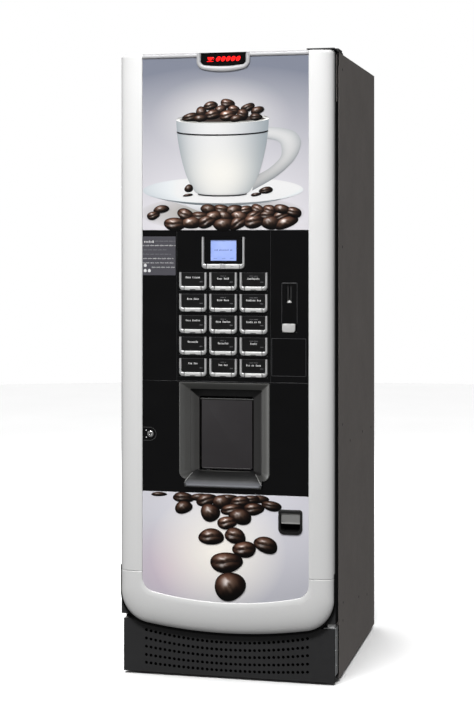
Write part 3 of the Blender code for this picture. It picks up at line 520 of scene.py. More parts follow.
def placed(item, node, replaces=(), edge=0.0):
    """Soften an object's edges, then hand it to the frame as a piece on a CAD node's body."""
    if edge:
        bevel = item.modifiers.new("soft_edges", "BEVEL")
        bevel.width = edge
        bevel.segments = 2
        bevel.limit_method = "ANGLE"
        bevel.angle_limit = math.radians(40)
        bevel.harden_normals = True
    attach(item, BODY_OF[node])
    if replaces:
        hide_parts(*replaces)
    return item


def refined(node, finish, edge, tune=None, second=None, where=None):
    """A copy of a CAD node with rounded edges, which stands for it.

    tune(bm) may move its points; faces for which where(normal) holds take the second finish.
    """
    bm = bmesh.new()
    bm.from_mesh(frame["nodes"][node].data)
    bmesh.ops.remove_doubles(bm, verts=bm.verts, dist=1e-6)
    bmesh.ops.dissolve_limit(bm, angle_limit=math.radians(0.5), verts=bm.verts, edges=bm.edges)
    if tune:
        tune(bm)
    bm.normal_update()
    for face in bm.faces:
        face.smooth = True
        face.material_index = int(bool(where and where(face.normal)))
    mesh = bpy.data.meshes.new(f"{node}_skin")
    bm.to_mesh(mesh)
    bm.free()
    mesh.set_sharp_from_angle(angle=math.radians(35))
    for name in filter(None, (finish, second)):
        mesh.materials.append(FINISH[name])
    return placed(linked(f"{node}_skin", mesh), node, (node,), edge)


def rounded(x, z, radii, steps=6):
    """Rectangle outline; radii go lower left, lower right, upper right, upper left."""
    if not isinstance(radii, tuple):
        radii = (radii,) * 4
    corners = ((x[0], z[0]), (x[1], z[0]), (x[1], z[1]), (x[0], z[1]))
    signs = ((1, 1), (-1, 1), (-1, -1), (1, -1))
    points = []
    for index, (corner, sign, radius) in enumerate(zip(corners, signs, radii)):
        centre = (corner[0] + sign[0] * radius, corner[1] + sign[1] * radius)
        start = math.pi + index * math.pi / 2
        for i in range(steps + 1 if radius else 1):
            angle = start + math.pi / 2 * i / steps
            points.append((centre[0] + radius * math.cos(angle), centre[1] + radius * math.sin(angle)))
    return points


def circle(centre, radius, segments=24):
    return [(centre[0] + radius * math.cos(math.tau * i / segments),
             centre[1] + radius * math.sin(math.tau * i / segments)) for i in range(segments)]


def u_outline(shape, top, steps):
    """U from upper left, down, round the bowed bottom and up to upper right, as (x, z) points."""
    half, corner, bow = shape["half"], shape["corner"], shape["bow"]
    bow_centre = shape["bottom"] + bow
    fillet_x = half - corner
    fillet_z = bow_centre - math.sqrt((bow - corner) ** 2 - fillet_x ** 2)
    tangent = math.atan2(fillet_x, bow_centre - fillet_z)
    right = []
    for i in range(1, steps + 1):
        angle = tangent * i / steps
        right.append((bow * math.sin(angle), bow_centre - bow * math.cos(angle)))
    for i in range(1, steps + 1):
        angle = tangent + (math.pi / 2 - tangent) * i / steps
        right.append((fillet_x + corner * math.sin(angle), fillet_z - corner * math.cos(angle)))
    right.append((half, top))
    return [(-x, z) for x, z in reversed(right)] + [(0.0, shape["bottom"])] + right


# ---------------------------------------------------------------- stage
def stage():
    """White floor, kept out of reflections."""
    bm = bmesh.new()
    bmesh.ops.create_circle(bm, cap_ends=True, radius=9.0, segments=96)
    mesh = bpy.data.meshes.new("floor")
    bm.to_mesh(mesh)
    bm.free()
    floor = linked("floor", mesh)
    floor.location.z = -0.0005
    shader = Shader("floor_paint", (0.90, 0.90, 0.90), 0.70)
    shader.mottle(shader.noise(1.5), (0.90, 0.90, 0.90), 0.01)
    mesh.materials.append(shader.material)
    floor.visible_diffuse = False
    floor.visible_glossy = False
    return floor


def softbox(name, place, aim, size, power):
    """Rectangular light at a place, turned to its aim."""
    data = bpy.data.lights.new(name, "AREA")
    data.shape = "RECTANGLE"
    data.size, data.size_y = size
    data.energy = power
    item = linked(name, data)
    item.location = place
    item.rotation_euler = (Vector(aim) - Vector(place)).to_track_quat("-Z", "Y").to_euler()
    return item


def overhead(name, strength):
    """Soft daylight from straight above."""
    data = bpy.data.lights.new(name, "SUN")
    data.energy = strength
    data.angle = math.radians(50)
    return linked(name, data)


def only_on(light, items, name):
    """Let a light fall on these pieces alone."""
    group = bpy.data.collections.new(name)
    for item in items:
        group.objects.link(item)
    light.light_linking.receiver_collection = group


SOFTBOXES = (                       # name, place, aim, size, watts
    ("key_box", (-0.4, -3.7, 4.5), (0, -0.35, 0.9), (2.4, 1.6), 262.0),
    ("left_box", (-2.4, -4.1, 1.4), (0, -0.3, 0.9), (1.0, 2.8), 5.0),
    ("right_box", (2.3, -4.2, 1.6), (0, -0.3, 0.9), (1.2, 2.6), 6.0),
    ("back_box", (-2.0, 3.6, 2.2), (0, 0, 0.8), (2.5, 2.0), 60.0),
)
AMBIENT, BACKDROP = 0.15, 1.0       # strength of the world as light and as seen by the camera


def lights(floor):
    """Soft boxes, daylight from above and a white surround."""
    for box in SOFTBOXES:
        softbox(*box)
    overhead("overhead", 0.7)
    only_on(overhead("floor_light", 2.2), [floor], "lit_from_above")
    world = bpy.data.worlds.new("studio")
    world.use_nodes = True
    tree = world.node_tree
    ambient = tree.nodes["Background"]
    backdrop = tree.nodes.new("ShaderNodeBackground")
    for background, strength in ((ambient, AMBIENT), (backdrop, BACKDROP)):
        background.inputs["Color"].default_value = (1.0, 1.0, 1.0, 1.0)
        background.inputs["Strength"].default_value = strength
    path = tree.nodes.new("ShaderNodeLightPath")
    mix = tree.nodes.new("ShaderNodeMixShader")
    tree.links.new(path.outputs["Is Camera Ray"], mix.inputs["Fac"])
    tree.links.new(ambient.outputs["Background"], mix.inputs[1])
    tree.links.new(backdrop.outputs["Background"], mix.inputs[2])
    tree.links.new(mix.outputs["Shader"], tree.nodes["World Output"].inputs["Surface"])
    bpy.context.scene.world = world
    bpy.context.scene.view_settings.view_transform = "Standard"


def camera():
    """At the buyer's right, a little above the keys, looking level."""
    data = bpy.data.cameras.new("camera")
    data.lens = 82.14
    data.sensor_width = 36.0
    data.shift_y = -0.1598
    item = linked("camera", data)
    item.location = (1.0310, -4.5928, 1.1846)
    item.rotation_euler = (math.pi / 2, 0.0, math.radians(13.2296))
    bpy.context.scene.camera = item


camera()
lights(stage())


# ---------------------------------------------------------------- silver mouldings and top rail
def moulding_section():
    """(share across, share of the height) from the inner foot over the crest to the outer foot."""
    steps = 16
    section = [(0.0, 0.0), (0.0, 0.93), (0.006, 0.965), (0.020, 0.985)]
    for i in range(1, steps + 1):
        angle = math.pi / 2 * i / steps
        share = math.sin(angle) ** (2 / MOULD_POWER)
        section.append((0.04 + 0.96 * share, math.cos(angle) ** (2 / MOULD_POWER) if i < steps else 0.0))
    return section


def moulding_rings(stations):
    """Rings through (inner point, outer point, shrink) stations; shrink rounds off the ends."""
    section = moulding_section()
    back, crest = MOULD_Y[1], MOULD_Y[0]
    rings = []
    for (xi, zi), (xo, zo), shrink in stations:
        ring = []
        for share, height in section:
            across = share * (1 - shrink * 0.35)
            ring.append((xi + (xo - xi) * across, back + (crest - back) * height * (1 - shrink),
                         zi + (zo - zi) * across))
        rings.append(ring)
    return rings


MOULD_END = 0.007                   # height over which a side moulding's top is rounded off
LIFT = ((0.0018, 0.05), (0.0012, 0.015), (0.0006, 0.0))     # height over the U and shrink at its tips


def mouldings():
    """Left and right mouldings and the U that joins them."""
    inner, outer = MOULD_INNER["half"], MOULD_OUTER["half"]
    low, high = MOULD_Z
    levels = [(low, 0.05), (low + 0.0006, 0.015), (low + 0.0012, 0.0), (low + 0.0022, 0.0), (low + 0.80, 0.0),
              (high - 0.0085, 0.0)]
    for angle in np.linspace(0, math.pi / 2, 5):
        levels.append((high + MOULD_END * (math.sin(angle) - 1), 0.22 * (1 - math.cos(angle))))
    sides = []
    for name, side in (("left_moulding", -1), ("right_moulding", 1)):
        sides.append((name, [((side * inner, z), (side * outer, z), shrink) for z, shrink in levels]))
    top = BOTTOM_Z[1] - 0.0018
    lines = list(zip(u_outline(MOULD_INNER, top, 22), u_outline(MOULD_OUTER, top, 22)))
    (left_inner, _), (left_outer, _) = lines[0]
    stations = [((left_inner, top + dz), (left_outer, top + dz), shrink) for dz, shrink in LIFT]
    stations += [(a, b, 0.0) for a, b in lines]
    stations += [((-left_inner, top + dz), (-left_outer, top + dz), shrink) for dz, shrink in reversed(LIFT)]
    for name, stations in sides + [("bottom_moulding", stations)]:
        form = Form("silver")
        form.loft(moulding_rings(stations))
        form.place(f"{name}_skin", name, (name,), sharp=50)


BADGE_X = -0.0035
BADGE_RIM = {"half": 0.0735, "bottom": 1.6426, "bow": 0.240, "corner": 0.024}
BADGE_GLASS = {"half": 0.0614, "bottom": 1.6585, "bow": 0.420, "corner": 0.010}


def top_rail():
    """Rounded rail, the bezel that hangs from it and the lit badge window."""
    half = RAIL_X[1]
    front, back = RAIL_Y
    low, high = PICTURE_Z[1] + 0.0006, RAIL_Z[1]
    profile = [(back, low), (front + 0.0025, low), (front + 0.0008, low + 0.0012), (front, low + 0.0035),
               (front + 0.0002, high - 0.0060), (front + 0.0012, high - 0.0025),
               (front + 0.0040, high - 0.0004), (front + 0.0070, high), (back, high)]
    x0, x1 = BADGE_X - BADGE_RIM["half"] + 0.006, BADGE_X + BADGE_RIM["half"] - 0.006
    form = Form("rail_silver")
    form.prism(profile, -half, x0, "X")
    form.prism([(max(y, front + 0.0042), z) for y, z in profile], x0, x1, "X")
    form.prism(profile, x1, half, "X")
    top = high - 0.0012

    def ring(share, y):
        """Outline between the bezel's rim (0) and its glass (1)."""
        pairs = zip(u_outline(BADGE_RIM, top, 10), u_outline(BADGE_GLASS, top, 10))
        return [(BADGE_X + a + (c - a) * share, y, b + (d - b) * share) for (a, b), (c, d) in pairs]

    proud = front - 0.0015
    form.loft([ring(0.0, SKIN_Y), ring(0.0, front + 0.0006), ring(0.10, front - 0.0006), ring(0.28, proud),
               ring(0.62, proud + 0.0003), ring(0.88, front + 0.0005), ring(0.96, front + 0.0028),
               ring(0.96, SKIN_Y)], closed=True)
    form.place("top_rail_skin", "top_rail", ("top_rail",), sharp=40)
    glass = Form("black_paint")
    glass.loft([ring(0.97, front + 0.0012), ring(0.97, front + 0.0038)])
    badge_mark(glass, front + 0.0012)
    glass.place("badge_window", "top_rail")


def badge_mark(form, y):
    """A plain cup and a row of beans, lit red."""
    form.use("red_glow")
    x, z = BADGE_X - 0.0360, BADGE_GLASS["bottom"] + 0.0190
    sheet = (y, y - 0.0003)
    cup = [(x - 0.0070, z + 0.0045)] + [(x + 0.0070 * math.cos(a), z + 0.0045 + 0.0095 * math.sin(a))
                                        for a in np.linspace(-math.pi, 0, 13)[1:]]
    form.prism(cup, *sheet)
    form.prism(rounded((x - 0.0095, x + 0.0095), (z - 0.0076, z - 0.0062), 0.0006, 3), *sheet)
    form.tube([(x + 0.0070 + 0.0036 * math.cos(a), y - 0.0002, z + 0.0006 + 0.0030 * math.sin(a))
               for a in np.linspace(-1.4, 1.4, 12)], 0.0006, 8)
    for index in range(5):
        middle = x + 0.0225 + 0.0138 * index
        form.use("red_glow").prism(slanted_oval(middle, z - 0.0006, 0.0056, 0.0068), *sheet)
        form.use("black_paint").prism(slanted_oval(middle, z - 0.0006, 0.0009, 0.0052), sheet[1],
                                      sheet[1] - 0.0001)


def slanted_oval(x, z, half_width, half_height):
    lean = 0.35
    return [(x + half_width * math.cos(a) + lean * half_height * math.sin(a), z + half_height * math.sin(a))
            for a in np.linspace(0, math.tau, 21)[:-1]]


# ---------------------------------------------------------------- pictures
LIGHT = Vector((-0.45, -0.75, 0.55)).normalized()
FRONT_LIGHT = Vector((-0.18, -0.92, 0.34)).normalized()


class Painting:
    """Flat coloured shapes in shallow relief on a picture panel; colours are worked out by formula."""

    def __init__(self):
        self.bm = bmesh.new()
        self.colours = []

    def surface(self, rows, columns, shape, wrap=False):
        """A patch; shape(row, column) gives a point and its colour, and wrap closes each row."""
        patch = [[shape(row, column) for column in columns] for row in rows]
        points = [[self.bm.verts.new(point) for point, _ in line] for line in patch]
        self.colours += [colour for line in patch for _, colour in line]
        for first, second in zip(points, points[1:]):
            count = len(first)
            for i in range(count if wrap else count - 1):
                j = (i + 1) % count
                corners = list(dict.fromkeys((first[i], first[j], second[j], second[i])))
                if len(corners) > 2:
                    self.bm.faces.new(corners).smooth = True

    def bean(self, x, z, length, width, turn, depth, face_up=True, tone=1.0):
        """A roasted bean: an ellipse in relief, with its curved crease if it lies face up."""
        rings, spokes = 12, 30
        cos_turn, sin_turn = math.cos(turn), math.sin(turn)

        def shape(ring, spoke):
            radius = max(ring / rings, 0.004)
            angle = math.tau * spoke / spokes
            u, v = radius * math.cos(angle), radius * math.sin(angle)
            lump = 1 + 0.05 * math.sin(2 * angle + 5 * turn) + 0.04 * math.sin(3 * angle + x * 90)
            px, pz = u * length * lump, v * width * lump
            point = (x + px * cos_turn - pz * sin_turn,
                     PRINT_Y - depth - 0.0004 * math.sqrt(1 - radius ** 2 + 1e-9),
                     z + px * sin_turn + pz * cos_turn)
            return point, bean_colour(u, v, cos_turn, sin_turn, face_up, tone, x + z)

        self.surface(range(rings + 1), range(spokes), shape, wrap=True)

    def beans(self, rows, depth, step, shift=0.0):
        """Beans as (x from the cup's axis, z, length, width, turn, face up, tone), each a step nearer."""
        for index, (x, z, length, width, turn, face_up, tone) in enumerate(rows):
            self.bean(CUP_AXIS + shift + x, z, length, width, turn, depth + step * index, face_up, tone)

    def place(self, name, node):
        mesh = bpy.data.meshes.new(name)
        bmesh.ops.recalc_face_normals(self.bm, faces=self.bm.faces)
        self.bm.to_mesh(mesh)
        self.bm.free()
        ink = mesh.color_attributes.new("ink", "FLOAT_COLOR", "POINT")
        ink.data.foreach_set("color", np.array([(*c, 1.0) for c in self.colours], dtype=np.float32).ravel())
        mesh.materials.append(FINISH["print"])
        placed(linked(name, mesh), node)


def bean_colour(u, v, cos_turn, sin_turn, face_up, tone, seed):
    """Dark oily roast: lit tan flanks either side of a black crease, and a nearly black under half."""
    depth = math.sqrt(max(0.0, 1 - u * u - v * v))
    wrinkle = 0.16 * math.sin(9 * u + 40 * seed) * math.sin(7 * v + 25 * seed)
    wrinkle += 0.07 * math.sin(19 * u - 31 * seed + 6 * v)
    crease = v - 0.13 * math.sin(math.pi * u)
    tilt = 0.0
    groove = 0.0
    if face_up and abs(u) < 0.94:
        groove = math.exp(-(crease / 0.060) ** 2)
        tilt = -1.3 * (crease / 0.26) * math.exp(-(crease / 0.26) ** 2)
    across = v + tilt + wrinkle
    normal = Vector((u * cos_turn - across * sin_turn, -depth - 0.10,
                     u * sin_turn + across * cos_turn)).normalized()
    facing = max(0.0, normal.dot(LIGHT)) ** 3.0
    half_way = (LIGHT + Vector((0, -1, 0))).normalized()
    sheen = 0.30 * tone * max(0.0, normal.dot(half_way)) ** 9
    glint = 0.75 * tone * max(0.0, normal.dot(half_way)) ** 60
    height = u * sin_turn + v * cos_turn
    under = min(1.0, max(0.12, 0.62 + 0.75 * height))
    dark = (1 - 0.92 * groove) * under
    edge = 0.12 + 0.88 * min(1.0, depth * 1.35)
    body = (0.115 * tone, 0.040 * tone, 0.022 * tone)
    shine = (1.0, 0.74, 0.55)
    return tuple((c * (0.05 + 0.95 * facing) + sheen * warm * 0.55 + glint) * dark * edge
                 for c, warm in zip(body, shine))


def porcelain(normal, warmth):
    """White glaze: bluish in shade, warm where the lamp glows behind it."""
    facing = max(0.0, normal.dot(FRONT_LIGHT))
    shadow = Vector((0.30, 0.34, 0.37))
    white = Vector((0.78, 0.78, 0.78))
    glow = Vector((0.90, 0.88, 0.82))
    colour = shadow.lerp(white, min(1.0, facing ** 2.2))
    return tuple(colour.lerp(glow, warmth))


CUP_AXIS = -0.0065
CUP_LOW, CUP_HIGH, CUP_TILT = 1.312, 1.514, 0.085           # the tilt flattens its circles
SAUCER_RADIUS, SAUCER_Z = 0.2216, 1.314
ROUND = np.linspace(0, math.tau, 97)[:-1]


def saucer(painting):
    """The plate's shaded underside, then the plate, which rises toward its rim."""
    def plate_point(radius, angle, depth):
        rise = 0.030 * (radius / SAUCER_RADIUS) ** 2.4
        return (CUP_AXIS + radius * math.cos(angle), PRINT_Y - depth,
                SAUCER_Z - 0.020 + rise + radius * math.sin(angle) * 0.160)

    def underside(drop, angle):
        radius = SAUCER_RADIUS * (1 - 0.46 * drop)
        _, y, z = plate_point(SAUCER_RADIUS, angle, 0.0001)
        front = max(0.0, -math.sin(angle))
        lit = 0.78 - 0.26 * drop - 0.08 * math.cos(angle)
        return ((CUP_AXIS + radius * math.cos(angle), y - 0.00002 * drop,
                 z - 0.030 * drop * (0.25 + 0.75 * front)),
                (lit, lit * 1.01, lit * 1.04))

    def plate(radius, angle):
        slope = 0.8 * (radius / SAUCER_RADIUS) ** 1.4
        normal = Vector((-slope * math.cos(angle), -0.55 - 0.3 * math.sin(angle), 0.9)).normalized()
        near_rim = min(1.0, (SAUCER_RADIUS - radius) / 0.010)
        colour = porcelain(normal, 0.30 * math.exp(-(radius / 0.11) ** 2))
        return (plate_point(radius, angle, 0.0003),
                tuple(min(0.80, 1.42 * c) * (0.97 + 0.03 * near_rim) for c in colour))

    painting.surface(np.linspace(0, 1, 7), ROUND, underside, wrap=True)
    painting.surface(np.linspace(0.002, SAUCER_RADIUS, 22), ROUND, plate, wrap=True)


CUP_SIDE = ((0.0, 0.064), (0.02, 0.069), (0.04, 0.076), (0.14, 0.089), (0.27, 0.101), (0.40, 0.109),
            (0.51, 0.1147), (0.64, 0.1203), (0.77, 0.1246), (0.90, 0.1270), (1.0, 0.1280))


def cup_radius(share):
    """Foot, rounded belly and a lip that stands nearly upright."""
    return float(np.interp(share, *zip(*CUP_SIDE)))


def cup(painting):
    """A plain white cup, seen from a little above, with a dark line round its lip and its foot."""
    front = np.linspace(math.pi, 0, 61)
    lip = cup_radius(1.0)

    def body(share, angle):
        radius = cup_radius(share)
        point = (CUP_AXIS + radius * math.cos(angle), PRINT_Y - 0.0007 - 0.0003 * math.sin(angle),
                 CUP_LOW + (CUP_HIGH - CUP_LOW) * share - CUP_TILT * radius * math.sin(angle))
        normal = Vector((math.cos(angle), -math.sin(angle), -0.25 + 0.35 * share)).normalized()
        dx, dz = radius * math.cos(angle) / 0.085, (share - 0.30) / 0.36
        foot = 0.62 + 0.38 * min(1.0, share / 0.05)
        return point, tuple(c * foot for c in porcelain(normal, 0.75 * math.exp(-dx * dx - dz * dz)))

    def rim(share, angle):
        r = lip - 0.009 * share
        lit = 0.98 - 0.22 * share
        return ((CUP_AXIS + r * math.cos(angle), PRINT_Y - 0.0011,
                 CUP_HIGH - CUP_TILT * r * -math.sin(angle) + 0.004 * math.sin(math.pi * share)),
                 (lit, lit, lit * 0.98))

    def hollow(r, angle):
        return ((CUP_AXIS + r * math.cos(angle), PRINT_Y - 0.00105,
                 CUP_HIGH + CUP_TILT * r * math.sin(angle)),
                (0.05, 0.035, 0.03))

    painting.surface(np.linspace(0, 1, 60), front, body)
    for share, height in ((0.845, 0.0040), (0.012, 0.0030)):
        def line(dz, angle):
            radius = cup_radius(share) + 0.0004
            return ((CUP_AXIS + radius * math.cos(angle), PRINT_Y - 0.0014,
                     CUP_LOW + (CUP_HIGH - CUP_LOW) * share + dz - CUP_TILT * radius * math.sin(angle)),
                    (0.012, 0.012, 0.014))

        painting.surface((-height / 2, height / 2), front, line)
    painting.surface(np.linspace(0, 1, 7), ROUND, rim, wrap=True)
    painting.surface((0.001, lip - 0.008), ROUND, hollow, wrap=True)


HANDLE_OUTER = ((0.118, 1.4930), (0.1648, 1.4886), (0.2008, 1.4769), (0.2158, 1.4503), (0.2036, 1.4131),
                (0.1759, 1.3812), (0.1371, 1.3519), (0.0828, 1.3220))
HANDLE_INNER = ((0.118, 1.4610), (0.1454, 1.4567), (0.1604, 1.4450), (0.1626, 1.4184), (0.1510, 1.3998),
                (0.1288, 1.3812), (0.1122, 1.3716), (0.0883, 1.3600))


def smooth_line(points, count):
    """Points along a Catmull-Rom curve."""
    knots = [np.array(p) for p in (points[0], *points, points[-1])]
    line = []
    for t in np.linspace(0, len(points) - 1.0001, count):
        i, f = int(t), t - int(t)
        a, b, c, d = knots[i:i + 4]
        square = (2 * a - 5 * b + 4 * c - d) * f ** 2
        cube = (3 * b - a - 3 * c + d) * f ** 3
        line.append(0.5 * (2 * b + (c - a) * f + square + cube))
    return line


def handle(painting):
    """Broad ear-shaped handle that springs from the lip and returns to the belly."""
    def shape(edges, k):
        outer, inner = edges
        middle, reach = (outer + inner) / 2, (outer - inner) / 2
        outward = reach / np.linalg.norm(reach)
        bend = 0.75 * k
        normal = Vector((outward[0] * bend, -math.sqrt(1 - bend * bend),
                         outward[1] * bend + 0.25)).normalized()
        low_part = max(0.0, (1.46 - middle[1]) / 0.16)
        return ((CUP_AXIS + middle[0] + reach[0] * k, PRINT_Y - 0.0005, middle[1] + reach[1] * k),
                tuple(c * (0.86 - 0.34 * low_part) for c in porcelain(normal, 0.0)))

    painting.surface(list(zip(smooth_line(HANDLE_OUTER, 44), smooth_line(HANDLE_INNER, 44))),
                     np.linspace(-1, 1, 13), shape)


def heap(painting, rng, rows, depth):
    """Rows of beans, back row first; a row is (count, x0, x1, z, length, width)."""
    for level, (count, x0, x1, z, length, width) in enumerate(rows):
        for i in range(count):
            x = x0 + (x1 - x0) * (i + 0.5) / count + rng.uniform(-0.004, 0.004)
            painting.bean(x, z + rng.uniform(-0.004, 0.004), length * rng.uniform(0.88, 1.12),
                          width * rng.uniform(0.88, 1.10), rng.uniform(-0.55, 0.55),
                          depth + 0.00012 * level + 0.00003 * (i % 3), rng.random() < 0.62,
                          rng.uniform(0.75, 1.35))


def pictures():
    """The cup with its heaped beans above, the falling beans below."""
    rng = np.random.default_rng(7)
    upper = Painting()
    saucer(upper)
    handle(upper)
    cup(upper)
    in_cup = ((-0.032, 1.5514, 0.020, 0.012, 0.1, True, 1.0), (0.015, 1.5567, 0.021, 0.012, -0.2, True, 1.1),
              (-0.057, 1.5344, 0.015, 0.016, 1.1, False, 0.8),
              (-0.004, 1.5408, 0.017, 0.012, 0.2, False, 1.0),
              (0.032, 1.5392, 0.019, 0.012, -0.2, True, 1.3), (0.071, 1.5450, 0.019, 0.011, 0.3, True, 0.7),
              (0.097, 1.5365, 0.018, 0.011, 0.3, False, 0.9), (-0.087, 1.5215, 0.024, 0.012, 0.1, True, 0.7),
              (-0.026, 1.5275, 0.024, 0.014, 0.1, True, 1.1), (0.057, 1.5265, 0.017, 0.015, -0.4, True, 1.0),
              (0.093, 1.5190, 0.018, 0.010, -0.1, True, 0.6), (0.015, 1.5248, 0.023, 0.015, 0.1, True, 2.0),
              (-0.060, 1.5180, 0.020, 0.010, 0.0, False, 0.7), (0.040, 1.5160, 0.020, 0.010, 0.1, False, 0.8))
    upper.beans(in_cup, 0.0013, 0.00006)
    for x, z, length, width in ((-0.0928, 1.3290, 0.012, 0.011), (0.1205, 1.3226, 0.019, 0.0095),
                                (0.0930, 1.3115, 0.014, 0.005), (-0.0950, 1.3110, 0.014, 0.004)):
        upper.bean(CUP_AXIS + x, z, length, width, 0.1, 0.0009, x > 0.1, 0.55)
    heap(upper, rng, ((6, -0.060, 0.145, 1.2690, 0.025, 0.014), (8, -0.125, 0.170, 1.2540, 0.027, 0.015),
                      (8, -0.155, 0.190, 1.2360, 0.030, 0.0175)), 0.0004)
    for x, z, length, width, turn in ((-0.170, 1.2733, 0.022, 0.011, 0.1),
                                      (-0.1925, 1.2562, 0.018, 0.012, 0.2),
                                      (0.165, 1.2720, 0.026, 0.012, -0.2),
                                      (0.196, 1.2640, 0.024, 0.013, -0.3)):
        upper.bean(CUP_AXIS + x, z, length, width, turn, 0.0012, x < -0.19 or x > 0.18, 0.9)
    upper.place("upper_picture_print", "upper_light_panel")
    lower = Painting()
    scattered = ((-0.181, 0.5000, 0.022, 0.006, 0.0, False, 0.5),
                 (0.098, 0.4955, 0.026, 0.011, 0.0, False, 0.7),
                 (-0.112, 0.4930, 0.031, 0.014, -0.1, True, 0.6),
                 (-0.070, 0.4960, 0.024, 0.010, 0.1, False, 0.6),
                 (0.075, 0.4940, 0.026, 0.012, 0.0, True, 0.7),
                 (0.012, 0.4970, 0.028, 0.009, 0.0, False, 0.6),
                 (-0.0485, 0.4890, 0.029, 0.017, 0.2, True, 0.9),
                 (-0.0058, 0.4850, 0.027, 0.019, -0.1, False, 0.9),
                 (0.0457, 0.4880, 0.028, 0.015, 0.0, True, 1.0),
                 (0.1316, 0.4790, 0.029, 0.013, -0.2, True, 0.6),
                 (0.0817, 0.4690, 0.029, 0.017, 0.0, True, 0.9),
                 (0.0235, 0.4660, 0.033, 0.015, 0.1, True, 1.0),
                 (-0.112, 0.4670, 0.024, 0.018, 0.2, False, 0.7),
                 (-0.0374, 0.4553, 0.026, 0.026, 0.6, False, 0.9),
                 (0.0457, 0.4473, 0.033, 0.021, -0.2, False, 0.8),
                 (0.0097, 0.4300, 0.028, 0.018, 0.1, True, 1.5),
                 (-0.0346, 0.3903, 0.036, 0.022, -0.05, True, 1.1),
                 (0.0319, 0.3950, 0.031, 0.021, -0.3, True, 1.0),
                 (0.0568, 0.3600, 0.033, 0.022, -0.05, True, 1.3),
                 (0.1160, 0.3740, 0.035, 0.021, -0.3, True, 0.9),
                 (0.0069, 0.3230, 0.045, 0.028, 0.0, True, 1.1),
                 (0.0169, 0.2590, 0.042, 0.040, 0.2, False, 1.0))
    lower.beans(scattered, 0.0004, 0.00008, 0.0045)
    lower.place("lower_picture_print", "lower_light_panel")


def backdrops():
    """Soft lit grounds behind the prints."""
    mid_x = (PICTURE_X[0] + PICTURE_X[1]) / 2
    upper = lit_backdrop("upper_backdrop", (
        ((mid_x, DOOR_Y, 1.20), (0.70, 1.0, 0.46), 0.85, (0.90, 0.87, 0.90)),
        ((mid_x - 0.01, DOOR_Y, 1.520), (0.20, 1.0, 0.115), 1.2, (0.80, 0.78, 0.77)),
        ((mid_x - 0.01, DOOR_Y, 1.262), (0.23, 1.0, 0.050), 0.6, (0.30, 0.285, 0.24)),
    ), (0.195, 0.212, 0.268), 0.10)
    lower = lit_backdrop("lower_backdrop", (
        ((mid_x, DOOR_Y, 0.49), (0.58, 1.0, 0.36), 0.7, (0.84, 0.83, 0.89)),
        ((-0.16, DOOR_Y, 0.30), (0.15, 1.0, 0.14), 1.0, (0.66, 0.55, 0.64)),
        ((-0.02, DOOR_Y, 0.35), (0.19, 1.0, 0.17), 0.9, (1.10, 1.05, 0.96)),
    ), (0.33, 0.335, 0.385), 0.10)
    for node, material in (("upper_light_panel", upper), ("lower_light_panel", lower)):
        FINISH[node] = material
        refined(node, node, 0.0005)


# ---------------------------------------------------------------- fascia, keypad and display
def fascias():
    """The four black panels of the front."""
    for node in ("left_fascia", "keypad_fascia", "right_fascia", "lower_fascia"):
        refined(node, "piano_black", 0.0006)


def ridge(form, edge_x, top, low, bar, foot_x, side, front):
    """Half of the silver U round a label: an arm, a rounded corner and a foot up to the push bar."""
    def outline(inset):
        outer = edge_x - side * inset
        radius = KEY_CORNER - inset * 0.6
        points = [(outer, top - inset * 0.3)]
        for i in range(9):
            angle = math.pi / 2 * i / 8
            points.append((outer - side * radius * (1 - math.cos(angle)),
                           low + inset + radius * (1 - math.sin(angle))))
        foot = foot_x + side * inset * 0.2
        rise = low + bar - inset
        inner = edge_x - side * (KEY_ARM - inset)
        points += [(foot, low + inset), (foot, rise)]
        fillet = 0.0042
        for i in range(7):
            angle = math.pi / 2 * i / 6
            points.append((inner - side * fillet * (1 - math.sin(angle)),
                           rise + fillet * (1 - math.cos(angle))))
        points.append((inner, top - inset * 0.3))
        return points

    rings = [at(outline(0.0), FASCIA_Y[1] + 0.0003)]
    for inset, drop in ((0.0, 0.0022), (0.0003, 0.0011), (0.0009, 0.0004), (0.0016, 0.0)):
        rings.append(at(outline(inset), front + drop))
    form.loft(rings)


def ink(y):
    """Depth range of a mark printed on a face."""
    return (y - 0.0001, y + 0.0002)


def word(form, x, z, letters, size, y):
    """A run of small upright marks that reads as a line of print without being lettering."""
    pitch = size * 0.98
    left = x - pitch * len(letters) / 2
    for index, letter in enumerate(letters):
        if letter == " ":
            continue
        height = size * (1.35 if letter == "t" else 1.0)
        u = left + pitch * index
        form.box((u, u + pitch * 0.48), ink(y), (z, z + height))


LABEL_WORDS = (("tnnn tnnnnn", "tnnn tnnt", "tnntnnntn"), ("tnnn tnnn", "tnnn tnnn", "tnntnnn tnn"),
               ("tnnn tnntnn", "tnnn tnntnn", "tnntn nn tn"), ("tnnnnntn", "tnnnntnn", "tnntn"),
               ("tnn tnn", "tnn tnn", "tnn nn tnnn"))


